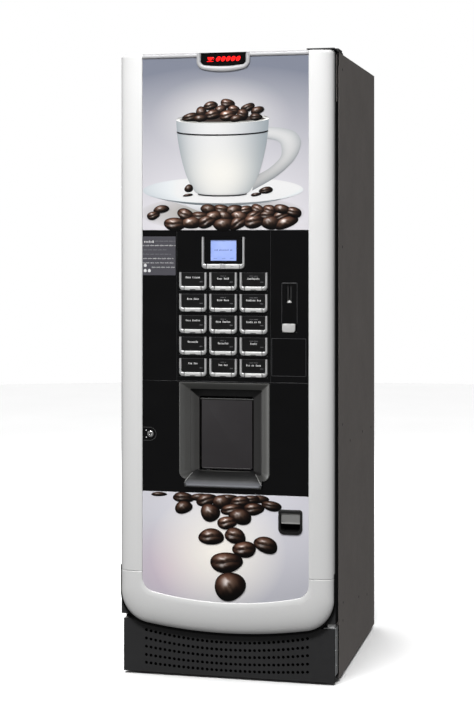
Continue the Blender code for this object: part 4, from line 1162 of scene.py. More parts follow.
def key_labels():
    """A dark card in every U, with a hairline along its top and generic lines of print."""
    cards = Form("label_card")
    marks = Form("ink_white")
    y = FASCIA_Y[0] + 0.0006
    for index, node in enumerate(KEYS):
        (x0, x1), _, (z0, _) = box_of(node)
        middle = (x0 + x1) / 2
        low = z0 + KEY_INSET
        top = low + KEY_SIZE[1]
        half = KEY_SIZE[0] / 2 - KEY_ARM + 0.0004
        cards.use("label_card").box((middle - half, middle + half), (y, FASCIA_Y[1]), (low + 0.0106, top))
        cards.use("line_grey").box((middle - half, middle + half), (y - 0.0002, y),
                                   (top - 0.0012, top - 0.0002))
        row, column = divmod(index, 3)
        drop = 0.0160 if column == 0 else 0.0190
        word(marks.use("ink_white"), middle, top - drop, LABEL_WORDS[row][column], 0.0038, y)
        if column:
            small_print = "nnnnn nnnnnn"[:8 + 4 * (column - 1)]
            word(marks.use("ink_grey"), middle, top - 0.0105, small_print, 0.0020, y)
        word(marks.use("ink_grey"), middle + half - 0.0100, top - 0.0265, "nnnn", 0.0022, y)
    cards.place("key_label_cards", "keypad_frame")
    marks.place("key_label_marks", "keypad_frame")


def keypad():
    """Silver ridges round the labels, the display's frame, the back plate and every push bar."""
    form = Form("key_silver")
    front = RIDGE_Y
    for node in KEYS:
        (x0, x1), _, (z0, _) = box_of(node)
        middle, low, half = (x0 + x1) / 2, z0 + KEY_INSET, KEY_SIZE[0] / 2
        for side in (-1, 1):
            foot = middle + side * ((x1 - x0) / 2 - KEY_INSET + BAR_GAP)
            ridge(form, middle + side * half, low + KEY_SIZE[1], low, 0.0108, foot, side, front)
    (a0, _), _, (z0, _) = box_of(DISPLAY_KEYS[0])
    _, a1 = box_of(DISPLAY_KEYS[1])[0]
    middle, low = (a0 + a1) / 2, z0 + KEY_INSET
    for side in (-1, 1):
        foot = middle + side * ((a1 - a0) / 2 - KEY_INSET + BAR_GAP)
        ridge(form, middle + side * 0.0593, low + 0.0857, low, 0.0130, foot, side, front)
    bridge = (box_of(DISPLAY_KEYS[0])[0][1] - 0.0012, box_of(DISPLAY_KEYS[1])[0][0] + 0.0012)
    form.pad(rounded(bridge, (low, low + 0.0130), 0.0008, 2), front, FASCIA_Y[1], 0.0008)
    (k0, k1), (_, k_back), (k_low, k_high) = box_of("keypad_frame")
    form.use("matt_black").prism(rounded((k0, k1), (k_low, k_high), 0.003, 3), FASCIA_Y[1] + 0.0005, k_back)
    form.place("keypad_frame_skin", "keypad_frame", ("keypad_frame",), sharp=50)
    key_labels()
    for node in KEYS + DISPLAY_KEYS:
        push_bar(node)


def push_bar(node):
    """Crowned silver bar with a small dark half-oval at its lower edge."""
    (x0, x1), (y0, y1), (z0, z1) = box_of(node)
    x, z = (x0 + 0.0018, x1 - 0.0018), (z0 + 0.0015, z1 - 0.0015)
    form = Form("bar_silver")
    rings = []
    for inset, y in ((0.0, y1), (0.0, y0 + 0.0024), (0.0002, y0 + 0.0014), (0.0008, y0 + 0.0006),
                     (0.0017, y0 + 0.0002), (0.0040, y0)):
        rings.append(at(rounded((x[0] + inset * 0.7, x[1] - inset * 0.7), (z[0] + inset, z[1] - inset),
                                0.0009, 3), y))
    form.loft(rings)
    middle = (x[0] + x[1]) / 2
    mark = [(middle + 0.0085 * math.cos(a), z[0] + 0.0012 + 0.0021 * math.sin(a))
            for a in np.linspace(0, math.pi, 15)]
    if node in KEYS:
        form.use("label_card").prism(mark, y0 + 0.0001, y0 + 0.0015)
    else:
        form.use("ink_grey").box((middle - 0.004, middle + 0.004), (y0 - 0.0001, y0 + 0.0005),
                                 ((z[0] + z[1]) / 2 - 0.0006, (z[0] + z[1]) / 2 + 0.0006))
    form.place(f"{node}_cap", node, (node,), sharp=50)


def display():
    """Black window surround and the lit screen behind it."""
    (x0, x1), (_, y1), (z0, z1) = box_of("display_screen")
    x, z = (x0 + 0.0075, x1 - 0.0075), (z0 + 0.0030, z1 - 0.0067)
    form = Form("piano_black")
    low = box_of(DISPLAY_KEYS[0])[2][0] + 0.0155
    top = low + 0.0700
    left, right = x[0] - 0.0160, x[1] + 0.0160
    window_y = FASCIA_Y[0] + 0.0008
    frame_ring = rounded((left, right), (low, top), 0.002, 3)
    hole_ring = rounded(x, z, 0.0012, 3)
    form.loft([at(frame_ring, window_y), at(hole_ring, window_y),
               at(hole_ring, window_y + 0.0022), at(frame_ring, window_y + 0.0022)],
              closed=True)
    form.place("display_window_surround", "display_screen")
    screen = Form("lcd")
    screen.box((x[0] - 0.001, x[1] + 0.001), (window_y + 0.0024, window_y + 0.0060),
               (z[0] - 0.001, z[1] + 0.001))
    screen.use("board_green").box((x0, x1), (window_y + 0.0064, y1), (z0, z1))
    y = window_y + 0.0024
    word(screen.use("lcd_mark"), (x[0] + x[1]) / 2, (z[0] + z[1]) / 2 - 0.001, "nnt ntnnnnnt nn", 0.0034, y)
    for share in (0.18, 0.5, 0.82):
        u = x[0] + (x[1] - x[0]) * share
        screen.box((u - 0.005, u + 0.005), ink(y), (z[0] + 0.006, z[0] + 0.0068))
    screen.place("display_glass_lit", "display_screen", ("display_screen",))


def outline_strip(form, x, z, width, y):
    """A thin printed frame."""
    radius = 0.0015
    outer = rounded(x, z, radius, 3)
    inner = rounded((x[0] + width, x[1] - width), (z[0] + width, z[1] - width), radius, 3)
    form.loft([at(outer, y - 0.0001), at(inner, y - 0.0001),
               at(inner, y + 0.0003), at(outer, y + 0.0003)],
              closed=True)


def fascia_prints():
    """Information label, joint lines, option plate and coin frame."""
    label = Form("label_grey")
    x, z = (-0.2296, -0.1366), (1.0941, 1.1993)
    label.prism(rounded(x, z, 0.0008, 2), SKIN_Y, DOOR_Y + 0.0003)
    y = SKIN_Y
    word(label.use("ink_white"), x[0] + 0.016, z[1] - 0.0170, "nnntn", 0.0046, y)
    label.box((x[0] + 0.0280, x[0] + 0.0310), ink(y), (z[1] - 0.0175, z[1] - 0.0110))
    for row, (start, share, tone) in enumerate(((0.36, 0.98, "ink_grey"), (0.02, 0.98, "ink_white"),
                                                (0.02, 0.72, "ink_grey"), (0.02, 0.84, "ink_grey"),
                                                (0.02, 0.92, "ink_white"), (0.02, 0.92, "ink_white"),
                                                (0.28, 0.96, "ink_white"))):
        height = z[1] - 0.0140 - row * 0.0118
        u0, u1 = x[0] + start * (x[1] - x[0]), x[0] + share * (x[1] - x[0])
        count = int((u1 - u0) / 0.0021)
        letters = "".join(" " if (i * 7 + row * 3) % 6 == 0 else "nt"[(i * 5 + row) % 4 == 0]
                          for i in range(count))
        word(label.use(tone), (u0 + u1) / 2, height, letters, 0.0023, y)
    for u, v in ((0.0075, 0.0270), (0.0075, 0.0125), (0.0190, 0.0125)):
        centre = (x[0] + u, z[0] + v)
        drop = [(centre[0] + 0.0042 * math.cos(a) * (1 - 0.25 * math.sin(a)),
                 centre[1] + 0.0046 * math.sin(a))
                for a in np.linspace(0, math.tau, 19)[:-1]]
        label.use("ink_white").prism(drop, *ink(y))
    label.place("information_label", "left_fascia")
    plate = Form("line_grey")
    (r0, r1), _, _ = box_of("right_fascia")
    (c0, c1), _, (_, c_top) = box_of("coin_entry")
    _, _, (_, button_top) = box_of("coin_reject_button")
    for x, z in (((r0 + 0.0024, r1 - 0.0066), (0.8260, 0.9271)),
                 ((c0 - 0.0012, c1 + 0.0012), (button_top + 0.0006, c_top + 0.0010))):
        outline_strip(plate, x, z, 0.0011, DOOR_Y)
    plate.place("option_plate_outlines", "right_fascia")
    joints = Form("line_grey")
    for node, other in (("left_fascia", "keypad_fascia"), ("keypad_fascia", "right_fascia")):
        u = (box_of(node)[0][1] + box_of(other)[0][0]) / 2
        joints.box((u - 0.0011, u + 0.0011), (DOOR_Y + 0.0007, FASCIA_Y[1]), (FASCIA_Z[0], FASCIA_Z[1]))
    seam = (LOWER_Z[1] + FASCIA_Z[0]) / 2
    joints.box((LOWER_X[0] + 0.001, LOWER_X[1] - 0.001), (DOOR_Y + 0.0007, FASCIA_Y[1] + 0.0010),
               (seam - 0.0011, seam + 0.0011))
    joints.place("fascia_joint_gaskets", "keypad_fascia")


# ---------------------------------------------------------------- delivery hatch
HATCH_OPENING = (-0.0745, 0.0745, 0.5660, 0.7665)
HATCH_DEEP = 0.82                   # share of the depth beyond which the bezel's faces take painted shade
HATCH_LIGHTS = (                    # soft lights that fall on the bezel alone: name, place, watts
    ("hatch_left", (-4.2, -2.2, 1.2), 225.0),
    ("hatch_right", (3.6, -2.4, 1.2), 30.0),
    ("hatch_low", (0.2, -1.2, 0.20), 9.0),
)


def hatch_ring(share, y, corner):
    """Rectangle between the bezel's rim (0) and the hatch opening (1), with rounded lower corners."""
    outer = (*BEZEL_X, 0.5440, BEZEL_Z[1])
    x0, x1, z0, z1 = (a + (b - a) * share for a, b in zip(outer, HATCH_OPENING))
    radii = (corner, corner, 0.0025 + 0.002 * share, 0.0025 + 0.002 * share)
    return at(rounded((x0, x1), (z0, z1), radii, 8), y)


def delivery_bezel():
    """Rim and facets of the hatch, its flat surround darkened as painted shade, its lights, and the scoop below
    it.
    """
    rim = DOOR_Y - 0.0040
    floor = DOOR_Y + 0.0235
    back = MOULD_Y[1]
    form = Form("hatch_plastic")
    rings = [hatch_ring(0.0, SKIN_Y, 0.020), hatch_ring(0.0, rim + 0.0012, 0.020),
             hatch_ring(0.012, rim + 0.0003, 0.0195), hatch_ring(0.030, rim, 0.0190),
             hatch_ring(0.050, rim, 0.0185), hatch_ring(0.085, rim + 0.0010, 0.018)]
    for share, depth, corner in ((0.30, 0.34, 0.015), (0.50, 0.80, 0.012), (0.53, 0.84, 0.011),
                                 (0.56, 0.86, 0.010), (0.78, 0.87, 0.007), (0.97, 0.88, 0.004)):
        rings.append(hatch_ring(share, rim + (floor - rim) * depth, corner))
    rings += [hatch_ring(1.0, floor, 0.004), hatch_ring(1.0, back, 0.004), hatch_ring(0.70, back, 0.006),
              hatch_ring(0.30, DOOR_Y + 0.0130, 0.014), hatch_ring(0.10, DOOR_Y + 0.0030, 0.016)]
    form.loft(rings, closed=True)
    right, top = HATCH_OPENING[1], HATCH_OPENING[3]
    # Faces deep in the bezel take painted shade: black above the opening, darkest at its right, darker
    # elsewhere.
    for face in list(form.bm.faces):
        middle = face.calc_center_median()
        if middle.y > rim + HATCH_DEEP * (floor - rim):
            deep = "black_paint" if middle.z > top else "hatch_dark" if middle.x > right else "hatch_inner"
            form.use(deep)
            face.material_index = form.slot
    bezel = form.place("delivery_bezel_skin", "delivery_bezel", ("delivery_bezel",), sharp=38)
    for name, place, power in HATCH_LIGHTS:
        light = softbox(name, place, (0, DOOR_Y, 0.65), (0.9, 1.6), power)
        only_on(light, [bezel], f"{name}_receivers")
    scoop(floor)


SCOOP_START, SCOOP_SWEEP = 20, 62   # degrees of arc from the hatch floor to the lip
SCOOP_SINE, SCOOP_COSINE = math.sin(math.radians(SCOOP_START)), math.cos(math.radians(SCOOP_START))


def scoop(floor):
    """Curved tray with a low cheek at each end and a rounded front lip; its finish is dark as shade under the
    flap with a painted highlight near the lip, and a thin pale tube on each cheek is a painted highlight line.
    """
    front, lip = BEZEL_Y[0], BEZEL_Z[0]
    top_half, low_half, middle = 0.0730, 0.1065, -0.0030
    top = HATCH_OPENING[2]
    form = Form("scoop_plastic")
    stations = []
    for i in range(15):
        t = i / 14
        angle = math.radians(SCOOP_START + SCOOP_SWEEP * t)
        y = floor + 0.0005 + (front + 0.0008 - floor) * (math.sin(angle) - SCOOP_SINE) / (0.990 - SCOOP_SINE)
        z = top + (lip + 0.0080 - top) * (SCOOP_COSINE - math.cos(angle)) / (SCOOP_COSINE - 0.139)
        stations.append((y, z, top_half + (low_half - top_half) * t ** 0.8))
    rings = []
    for y, z, half in stations:
        ring = []
        for k in range(21):
            s = -1 + 2 * k / 20
            cheek = 0.0035 * max(0.0, (abs(s) - 0.90) / 0.10) ** 2
            dish = -0.0012 * (1 - s * s)
            ring.append((middle + half * s, y + dish * 0.2, z + cheek + dish))
        ring += [(middle + half, y + 0.0020, z - 0.0030), (middle - half, y + 0.0020, z - 0.0030)]
        rings.append(ring)
    form.loft(rings)
    nose = []
    for s in np.linspace(-1, 1, 33):
        u = middle + low_half * s
        turn_in = 0.006 * max(0.0, (abs(s) - 0.92) / 0.08) ** 2
        nose.append([(u, front + 0.0018 + 0.0018 * math.cos(a) + turn_in,
                      lip + 0.0062 + 0.0030 * math.sin(a) + turn_in * 0.6)
                     for a in np.linspace(0, math.tau, 13)[:-1]])
    form.loft(nose)
    # A thin pale tube along each cheek is a painted highlight line.
    for side in (-1, 1):
        form.use("flap_light").tube([(middle + side * (half - 0.0004), y - 0.0004, z + 0.0034) for y, z,
                                     half in stations[5:]],
                                    0.0007, 8)
    form.place("delivery_scoop", "delivery_bezel", sharp=50)
    apron = Form("hatch_plastic")
    section = [(front + 0.0014, lip + 0.0055), (front + 0.0010, lip + 0.0022), (front + 0.0030, lip + 0.0006),
               (DOOR_Y - 0.0006, lip), (DOOR_Y - 0.0006, lip + 0.0235), (DOOR_Y - 0.0060, lip + 0.0165)]
    apron.prism(section, middle - low_half + 0.001, middle + low_half - 0.001, "X")
    apron.place("delivery_scoop_apron", "delivery_bezel", edge=0.0006)


def delivery_flap():
    """Smoked flap with its hinge bar and a finger lip."""
    (x0, x1), (y0, y1), (z0, z1) = box_of("delivery_flap")
    half = x1 - 0.003
    sheet = (y0 + 0.0045, y1 - 0.0015)
    form = Form("smoked")
    leaf = rounded((-half, half), (z0, z1 - 0.0005), (0.006, 0.006, 0.001, 0.001))
    form.pad(leaf, *sheet, 0.0008)
    bar = [(x, (y0 + y1) / 2 + 0.0015, z1 - 0.0030) for x in np.linspace(x0, x1, 9)]
    form.use("hatch_plastic").tube(bar, 0.0029, 16)
    lip = rounded((-half + 0.003, half - 0.003), (z0 + 0.0010, z0 + 0.0034), 0.0010, 3)
    form.use("smoked").pad(lip, y0, sheet[0], 0.0008)
    form.place("delivery_flap_skin", "delivery_flap", ("delivery_flap",), sharp=40)


# ---------------------------------------------------------------- coin parts and lock
COIN_X, _, COIN_Z = box_of("coin_entry")
RECESS = ((0.1695, 0.1848), (1.0220, 1.0710))
SLOT = ((0.1740, 0.1803), (1.0300, 1.0685))


def coin_entry():
    """Plate with a sunk field, the coin slot in it and a lip at the field's foot, whose pale finish is a
    painted glint.
    """
    front, floor = DOOR_Y - 0.0015, DOOR_Y + 0.0040
    plate = rounded(COIN_X, COIN_Z, 0.0012, 3)
    field = rounded(*RECESS, 0.0012, 3)
    slot = rounded(*SLOT, 0.0012, 3)

    def ring(outline, y, shrink=0.0):
        middle = np.mean(outline, axis=0)
        return [(u - math.copysign(shrink, u - middle[0]), y, v - math.copysign(shrink, v - middle[1]))
                for u, v in outline]

    form = Form("piano_black")
    form.loft([ring(plate, DOOR_Y + 0.0088), ring(plate, front + 0.0005), ring(plate, front + 0.0001, 0.0003),
               ring(plate, front, 0.0008), ring(field, front, -0.0006), ring(field, front + 0.0005),
               ring(field, floor), ring(slot, floor, -0.0002), ring(slot, floor + 0.0004),
               ring(slot, DOOR_Y + 0.0088)],
              closed=True)
    (u0, u1), (v0, _) = RECESS
    form.use("recess_grey").loft([ring(field, floor + 0.0001, 0.0009), ring(field, floor - 0.0012, 0.0014),
                                 ring(slot, floor - 0.0012, -0.0014), ring(slot, floor + 0.0001, -0.0010)],
                                closed=True)
    # The lip's pale finish is a painted glint at the foot of the sunk field.
    lip = []
    for share in np.linspace(-1, 1, 13):
        u = (u0 + u1) / 2 + share * (u1 - u0 - 0.003) / 2
        rise = 0.0060 * (1 - 0.75 * abs(share) ** 1.3)
        lip.append([(u, floor - 0.0010, v0 + 0.0006), (u, front + 0.0008, v0 + 0.0008),
                    (u, front + 0.0010, v0 + 0.0016), (u, floor - 0.0012, v0 + 0.0012 + rise)])
    form.use("flap_light").loft(lip)
    form.place("coin_entry_plate", "coin_entry", ("coin_entry",), sharp=40)
    (x0, x1), (y0, y1), (z0, z1) = box_of("coin_reject_button")
    key = Form("bar_silver")
    key.pad(rounded((x0 + 0.0006, x1 - 0.0006), (z0, z1 - 0.0004), (0.007, 0.007, 0.001, 0.001)), y0,
            DOOR_Y + 0.0050, 0.0012)
    key.use("matt_black").box((0.1680, 0.1850), (DOOR_Y + 0.0052, y1), (0.9490, 0.9600))
    key.place("coin_reject_cap", "coin_reject_button", ("coin_reject_button",), sharp=50)
    refined("coin_mechanism", "works_dark", 0.0015)
    (m0, m1), (_, n1), (p0, _) = box_of("coin_mechanism")
    works = Form("works_grey")
    for finish, x, z, depth, edge in (
            ("works_grey", (m0 + 0.008, m1 - 0.008), (p0 + 0.020, p0 + 0.150), 0.0030, 0.001),
            ("works_red", (m0 + 0.012, m0 + 0.034), (p0 + 0.250, p0 + 0.290), 0.0050, 0.0015)):
        works.use(finish).pad(rounded(x, z, 0.004), n1 + depth, n1 + 0.0002, edge)
    for row in range(5):
        works.use("steel").screw((m1 - 0.014, p0 + 0.170 + 0.028 * row, n1), "Y", 1, 0.0035)
    works.place("coin_mechanism_cover", "coin_mechanism", sharp=40)


def coin_return():
    """Rimmed cup with a hanging flap and a round-bottomed scoop under it."""
    (x0, x1), (y0, _), (z0, z1) = box_of("coin_return_cup")
    outer = rounded((x0, x1), (z0, z1), (0.016, 0.016, 0.008, 0.008), 8)
    back = DOOR_Y + 0.0500

    form = Form("matt_black")
    rings = [at(outer, SKIN_Y)]
    for inset, y in ((0.0, y0 + 0.0012), (0.0004, y0 + 0.0004), (0.0012, y0)):
        rings.append(at(rounded((x0 + inset, x1 - inset), (z0 + inset, z1 - inset),
                                (0.016 - inset, 0.016 - inset, 0.008 - inset, 0.008 - inset), 8), y))
    for y, low, corner, inset in ((y0, 0.4110, 0.0120, -0.0006), (y0 + 0.0008, 0.4114, 0.0120, 0.0),
                                  (DOOR_Y + 0.004, 0.4118, 0.0120, 0.0),
                                  (DOOR_Y + 0.020, 0.4142, 0.0120, 0.0004),
                                  (DOOR_Y + 0.032, 0.4200, 0.0110, 0.0010),
                                  (DOOR_Y + 0.041, 0.4290, 0.0090, 0.0016),
                                  (DOOR_Y + 0.046, 0.4400, 0.0060, 0.0020), (back, 0.4400, 0.0060, 0.0020)):
        radii = (corner, corner, 0.002, 0.002)
        rings.append(at(rounded((0.1540 + inset, 0.2070 - inset), (low, 0.4638), radii, 8), y))
    shell = rounded((0.1520, 0.2090), (0.4080, 0.4670), (0.014, 0.014, 0.003, 0.003), 8)
    rings += [at(shell, back), at(shell, SKIN_Y)]
    form.loft(rings, closed=True)
    form.box((0.1545, 0.2065), (back - 0.0016, back - 0.0004), (0.4300, 0.4660))
    form.place("coin_return_shell", "coin_return_cup", ("coin_return_cup",), sharp=45)
    (f0, f1), (g0, g1), (h0, h1) = box_of("coin_return_flap")
    flap = Form("flap_grey")
    flap.pad(rounded((f0 + 0.0004, f1 - 0.0004), (h0, h1 - 0.0004), 0.0012, 3), g0 + 0.0014, g1 - 0.0016,
             0.0005)
    # The pale strip along the flap's foot is a painted highlight.
    flap.use("flap_light").pad(rounded((f0 + 0.0004, f1 - 0.0004), (h0, h0 + 0.0030), 0.0008, 3), g0 + 0.0002,
                               g0 + 0.0016, 0.0006)
    flap.use("flap_grey").tube([(u, (g0 + g1) / 2, h1 - 0.0026) for u in np.linspace(f0, f1, 5)], 0.0023, 14)
    flap.place("coin_return_flap_skin", "coin_return_flap", ("coin_return_flap",), sharp=45)


LOCK = (-0.2071, 0.6630)


def lock():
    """Barrel with a keyway, its cam behind the door, and the printed D round it."""
    _, (y0, y1), _ = box_of("lock_cylinder")
    u, v = LOCK
    form = Form("bright_pin")
    form.turned((u, v), [(0, y0 + 0.0022), (0.0030, y0 + 0.0022), (0.0034, y0 + 0.0006), (0.0062, y0),
                         (0.0074, y0 + 0.0003),
                         (0.0085, y0 + 0.0014), (0.0085, -0.2710), (0, -0.2710)], 40, "Y")
    form.use("black_paint").box((u - 0.0009, u + 0.0009), (y0 + 0.0016, y0 + 0.0026),
                                (v - 0.0024, v + 0.0024))
    cam = rounded((u - 0.0080, u + 0.0080), (v - 0.0820, v + 0.0080), 0.0078)
    form.use("zinc").prism(cam, y1 - 0.0030, y1)
    form.use("steel").turned((u, v), [(0, y1 - 0.0031), (0.0060, y1 - 0.0031), (0.0060, y1 - 0.0001),
                                      (0, y1 - 0.0001)], 6, "Y")
    form.place("lock_barrel", "lock_cylinder", ("lock_cylinder",), sharp=40)
    mark = Form("escutcheon")
    radius, middle, left = 0.0184, -0.2091, -0.2288
    outer, inner = [], []
    for points, r in ((outer, radius), (inner, radius - 0.0013)):
        points.append((left, v - r))
        points += [(middle + r * math.cos(a), v + r * math.sin(a)) for a in np.linspace(-math.pi / 2,
                                                                                        math.pi / 2, 25)]
        points.append((left, v + r))
    mark.prism(outer + inner[::-1], DOOR_Y - 0.0004, DOOR_Y + 0.0002)
    for height in (0.0094, -0.0092):
        mark.use("ink_white").prism(circle((-0.2192, v + height), 0.0015, 12), SKIN_Y, DOOR_Y + 0.0002)
    mark.place("lock_escutcheon", "lower_fascia", sharp=40)


def cup_place():
    """Compartment behind the flap, its nozzle, and the drip grid."""
    refined("cup_compartment", "matt_black", 0.0008)
    refined("drip_grid", "steel", 0.0004)
    (_, x1), (y0, y1), (_, z1) = box_of("cup_compartment")
    form = Form("works_dark")
    nozzle = ((0, 0.0500), (0.006, 0.0500), (0.009, 0.0480), (0.013, 0.0250), (0.022, 0.0180), (0.024, 0.0030),
              (0, 0.0030))
    form.turned((0.0, -0.262), [(radius, z1 - drop) for radius, drop in nozzle], 24, "Z")
    for side in (-1, 1):
        rail = sorted((side * (x1 - 0.0040), side * (x1 - 0.0022)))
        form.box(rail, (y0 + 0.012, y1 - 0.012), (0.5900, 0.5960))
    form.place("delivery_nozzle", "cup_compartment", edge=0.0006)


# ---------------------------------------------------------------- door pan, kick plate and hinges
HOLE_ROWS = ((0.0229, 0.0089), (0.0411, 0.0123), (0.0603, 0.0158), (0.0790, 0.0193), (0.0985, 0.0230))
HOLE_COUNT, HOLE_RADIUS = 35, 0.0043
HOLE_MIDDLE, HOLE_HALF = -0.0042, 0.2245
KICK_SHEET = 0.0020
RIM = 0.0006                        # plain margin at the plate's edges


def kick_plate():
    """Folded plate, pierced with bowed rows of round holes, and a black sheet behind them, painted shade that
    makes the holes read dark.
    """
    front, sheet = KICK_Y[0], KICK_SHEET
    rows_of_holes = len(HOLE_ROWS)
    pitch = 2 * HOLE_HALF / (HOLE_COUNT - 1)
    near = math.tan(math.radians(15))
    stops = [KICK_X[0] + RIM]
    for column in range(HOLE_COUNT):
        centre = HOLE_MIDDLE - HOLE_HALF + pitch * column
        stops += [centre - pitch / 2, centre - near * pitch / 2, centre + near * pitch / 2]
    stops += [HOLE_MIDDLE + HOLE_HALF + pitch / 2, KICK_X[1] - RIM]

    def row_height(index, u):
        base, rise = HOLE_ROWS[index]
        return base + rise * min(1.0, abs((u - HOLE_MIDDLE) / HOLE_HALF)) ** 2

    def levels(u):
        heights = [row_height(i, u) for i in range(rows_of_holes)]
        edges = [(a + b) / 2 for a, b in zip(heights, heights[1:])]
        edges = [2 * heights[0] - edges[0]] + edges + [2 * heights[-1] - edges[-1]]
        steps = [KICK_Z[0] + RIM]
        for low, high in zip(edges, edges[1:]):
            middle, half = (low + high) / 2, (high - low) / 2
            steps += [low, middle - near * half, middle + near * half]
        return steps + [edges[-1], KICK_Z[1] - RIM]

    form = Form("dark_paint")
    grid = [[[(u, y, v) for v in levels(u)] for u in stops] for y in (front, front + sheet)]
    layers = [[[form.bm.verts.new(p) for p in line] for line in layer] for layer in grid]
    columns, rows = len(stops), len(grid[0][0])

    def in_cell(i, j):
        return 1 <= i < columns - 2 and 1 <= j < rows - 2

    for layer in layers:
        for i in range(columns - 1):
            for j in range(rows - 1):
                if not in_cell(i, j):
                    form.face((layer[i][j], layer[i + 1][j], layer[i + 1][j + 1], layer[i][j + 1]), False)
    border = [(i, 0) for i in range(columns)] + [(columns - 1, j) for j in range(1, rows)]
    border += [(i, rows - 1) for i in range(columns - 2, -1, -1)] + [(0, j) for j in range(rows - 2, 0, -1)]
    for (i, j), (k, m) in zip(border, border[1:] + border[:1]):
        form.face((layers[0][i][j], layers[0][k][m], layers[1][k][m], layers[1][i][j]), False)
    around = [(0, 0), (1, 0), (2, 0), (3, 0), (3, 1), (3, 2), (3, 3), (2, 3), (1, 3), (0, 3), (0, 2), (0, 1)]
    for column in range(HOLE_COUNT):
        for row in range(rows_of_holes):
            u = HOLE_MIDDLE - HOLE_HALF + pitch * column
            v = row_height(row, u)
            rims = []
            for layer, y in zip(layers, (front, front + sheet)):
                edge = [layer[1 + 3 * column + a][1 + 3 * row + b] for a, b in around]
                turns = [math.radians(225 + 30 * k) for k in range(12)]
                rim = [form.bm.verts.new((u + HOLE_RADIUS * math.cos(t), y, v + HOLE_RADIUS * math.sin(t)))
                       for t in turns]
                for k in range(12):
                    n = (k + 1) % 12
                    form.face((edge[k], edge[n], rim[n], rim[k]), False)
                rims.append(rim)
            for k in range(12):
                n = (k + 1) % 12
                form.face((rims[0][k], rims[0][n], rims[1][n], rims[1][k]))
    back = (front + sheet, KICK_Y[1])
    form.box((KICK_X[0], KICK_X[1]), back, (KICK_Z[1] - sheet, KICK_Z[1]))
    form.box((KICK_X[0], KICK_X[1]), back, (KICK_Z[0], KICK_Z[0] + sheet))
    for side in (-1, 1):
        form.box(sorted((side * KICK_X[1], side * (KICK_X[1] - sheet))), back,
                 (KICK_Z[0] + sheet, KICK_Z[1] - sheet))
    # Black sheet behind the holes: painted shade that makes them read dark.
    form.use("black_paint").box((KICK_X[0] + 0.004, KICK_X[1] - 0.004), (front + 0.0100, front + 0.0120),
                                (KICK_Z[0] + 0.004, KICK_Z[1] - 0.004))
    form.place("kick_plate_pierced", "kick_plate", ("kick_plate",), sharp=40)


def moulding_shadow_strip():
    """Black strip just outside the silver's outer edge: a painted shadow, seen as a thin dark line under the
    moulding.
    """
    inner = u_outline({"half": 0.2950, "bottom": 0.1270, "bow": 1.350, "corner": 0.0880}, 0.300, 28)
    outer = u_outline({"half": 0.2972, "bottom": 0.1205, "bow": 1.350, "corner": 0.0900}, 0.300, 28)
    form = Form("black_paint")
    form.prism(outer + inner[::-1], MOULD_Y[1] - 0.0075, MOULD_Y[1] - 0.0003)
    form.place("moulding_painted_shadow", "bottom_moulding")


def door_body():
    """Pan with painted shade on its side faces, the painted shadow strip under the moulding, cable run and the
    board behind the keys.
    """
    # The pan's sideways faces take black paint: painted shade in the gaps beside the side panels.
    refined("door_pan", "dark_paint", 0.0006, second="black_paint", where=lambda normal: abs(normal.x) > 0.7)
    moulding_shadow_strip()
    form = Form("black_paint")
    for z in ((0.190, 0.520), (0.860, 1.200), (1.300, 1.560)):
        form.tube([(-0.2900, PAN_Y[1] + 0.0008, v) for v in np.linspace(*z, 6)], 0.0016, 8)
    form.use("side_paint").box((PAN_X[1], PAN_X[1] + 0.0010), (PAN_Y[0] + 0.016, PAN_Y[0] + 0.020),
                               (1.560, 1.686))
    form.place("door_edge_strip", "door_pan")
    board = Form("board_green")
    board.box((-0.1230, 0.1160), (DOOR_Y + 0.0118, DOOR_Y + 0.0134), (0.8240, 1.1060))
    rng = np.random.default_rng(3)
    for row in range(5):
        for column in range(3):
            u = -0.0035 + (column - 1) * 0.0839 + rng.uniform(-0.006, 0.006)
            v = 0.8480 + row * 0.0581
            board.use("matt_black").box((u - 0.009, u + 0.009), (DOOR_Y + 0.0134, DOOR_Y + 0.0165),
                                        (v, v + 0.008))
            board.use("steel").box((u - 0.011, u + 0.011), (DOOR_Y + 0.0134, DOOR_Y + 0.0140),
                                   (v - 0.002, v + 0.010))
    board.use("works_white").box((-0.050, 0.040), (DOOR_Y + 0.0134, DOOR_Y + 0.0220), (0.8290, 0.8380))
    board.place("keypad_board", "keypad_frame", edge=0.0004)


def hinges():
    """Top plate with its screws, bottom bracket with its pivot block."""
    refined("top_hinge_plate", "dark_paint", 0.0006)
    form = Form("steel")
    for x, y, radius in ((0.2760, -0.2300, 0.0040), (0.2600, -0.2200, 0.0040), (0.2850, -0.3000, 0.0055)):
        form.screw((x, y, 1.7005), "Z", 1, radius)
    form.place("top_hinge_screws", "top_hinge_plate")
    refined("bottom_hinge_bracket", "zinc", 0.0005)
    block = Form("pivot_white")
    block.pad(rounded((0.2745, 0.2940), (-0.3190, -0.3090), 0.0015, 3), 0.1642, 0.1531, 0.0008, "Z")
    block.use("steel")
    for z in (0.050, 0.090, 0.128):
        block.screw((-0.3050, z, 0.2960), "X", 1, 0.0038)
    block.place("hinge_pivot_block", "bottom_hinge_bracket", sharp=45)


# ---------------------------------------------------------------- cabinet shell
RIVETS = ((-0.224, 1.654), (-0.224, 1.171), (-0.224, 0.687), (-0.095, 0.628), (0.130, 0.628), (0.298, 0.622),
          (-0.214, 0.200), (0.060, 0.157), (0.219, 0.131), (-0.217, 0.152))
RIVET_PROUD = 0.0007
RIVET_HEAD = ((0, -0.0002), (0.0040, -0.0002), (0.0040, 0.0002), (0.0030, 0.0006), (0, RIVET_PROUD))


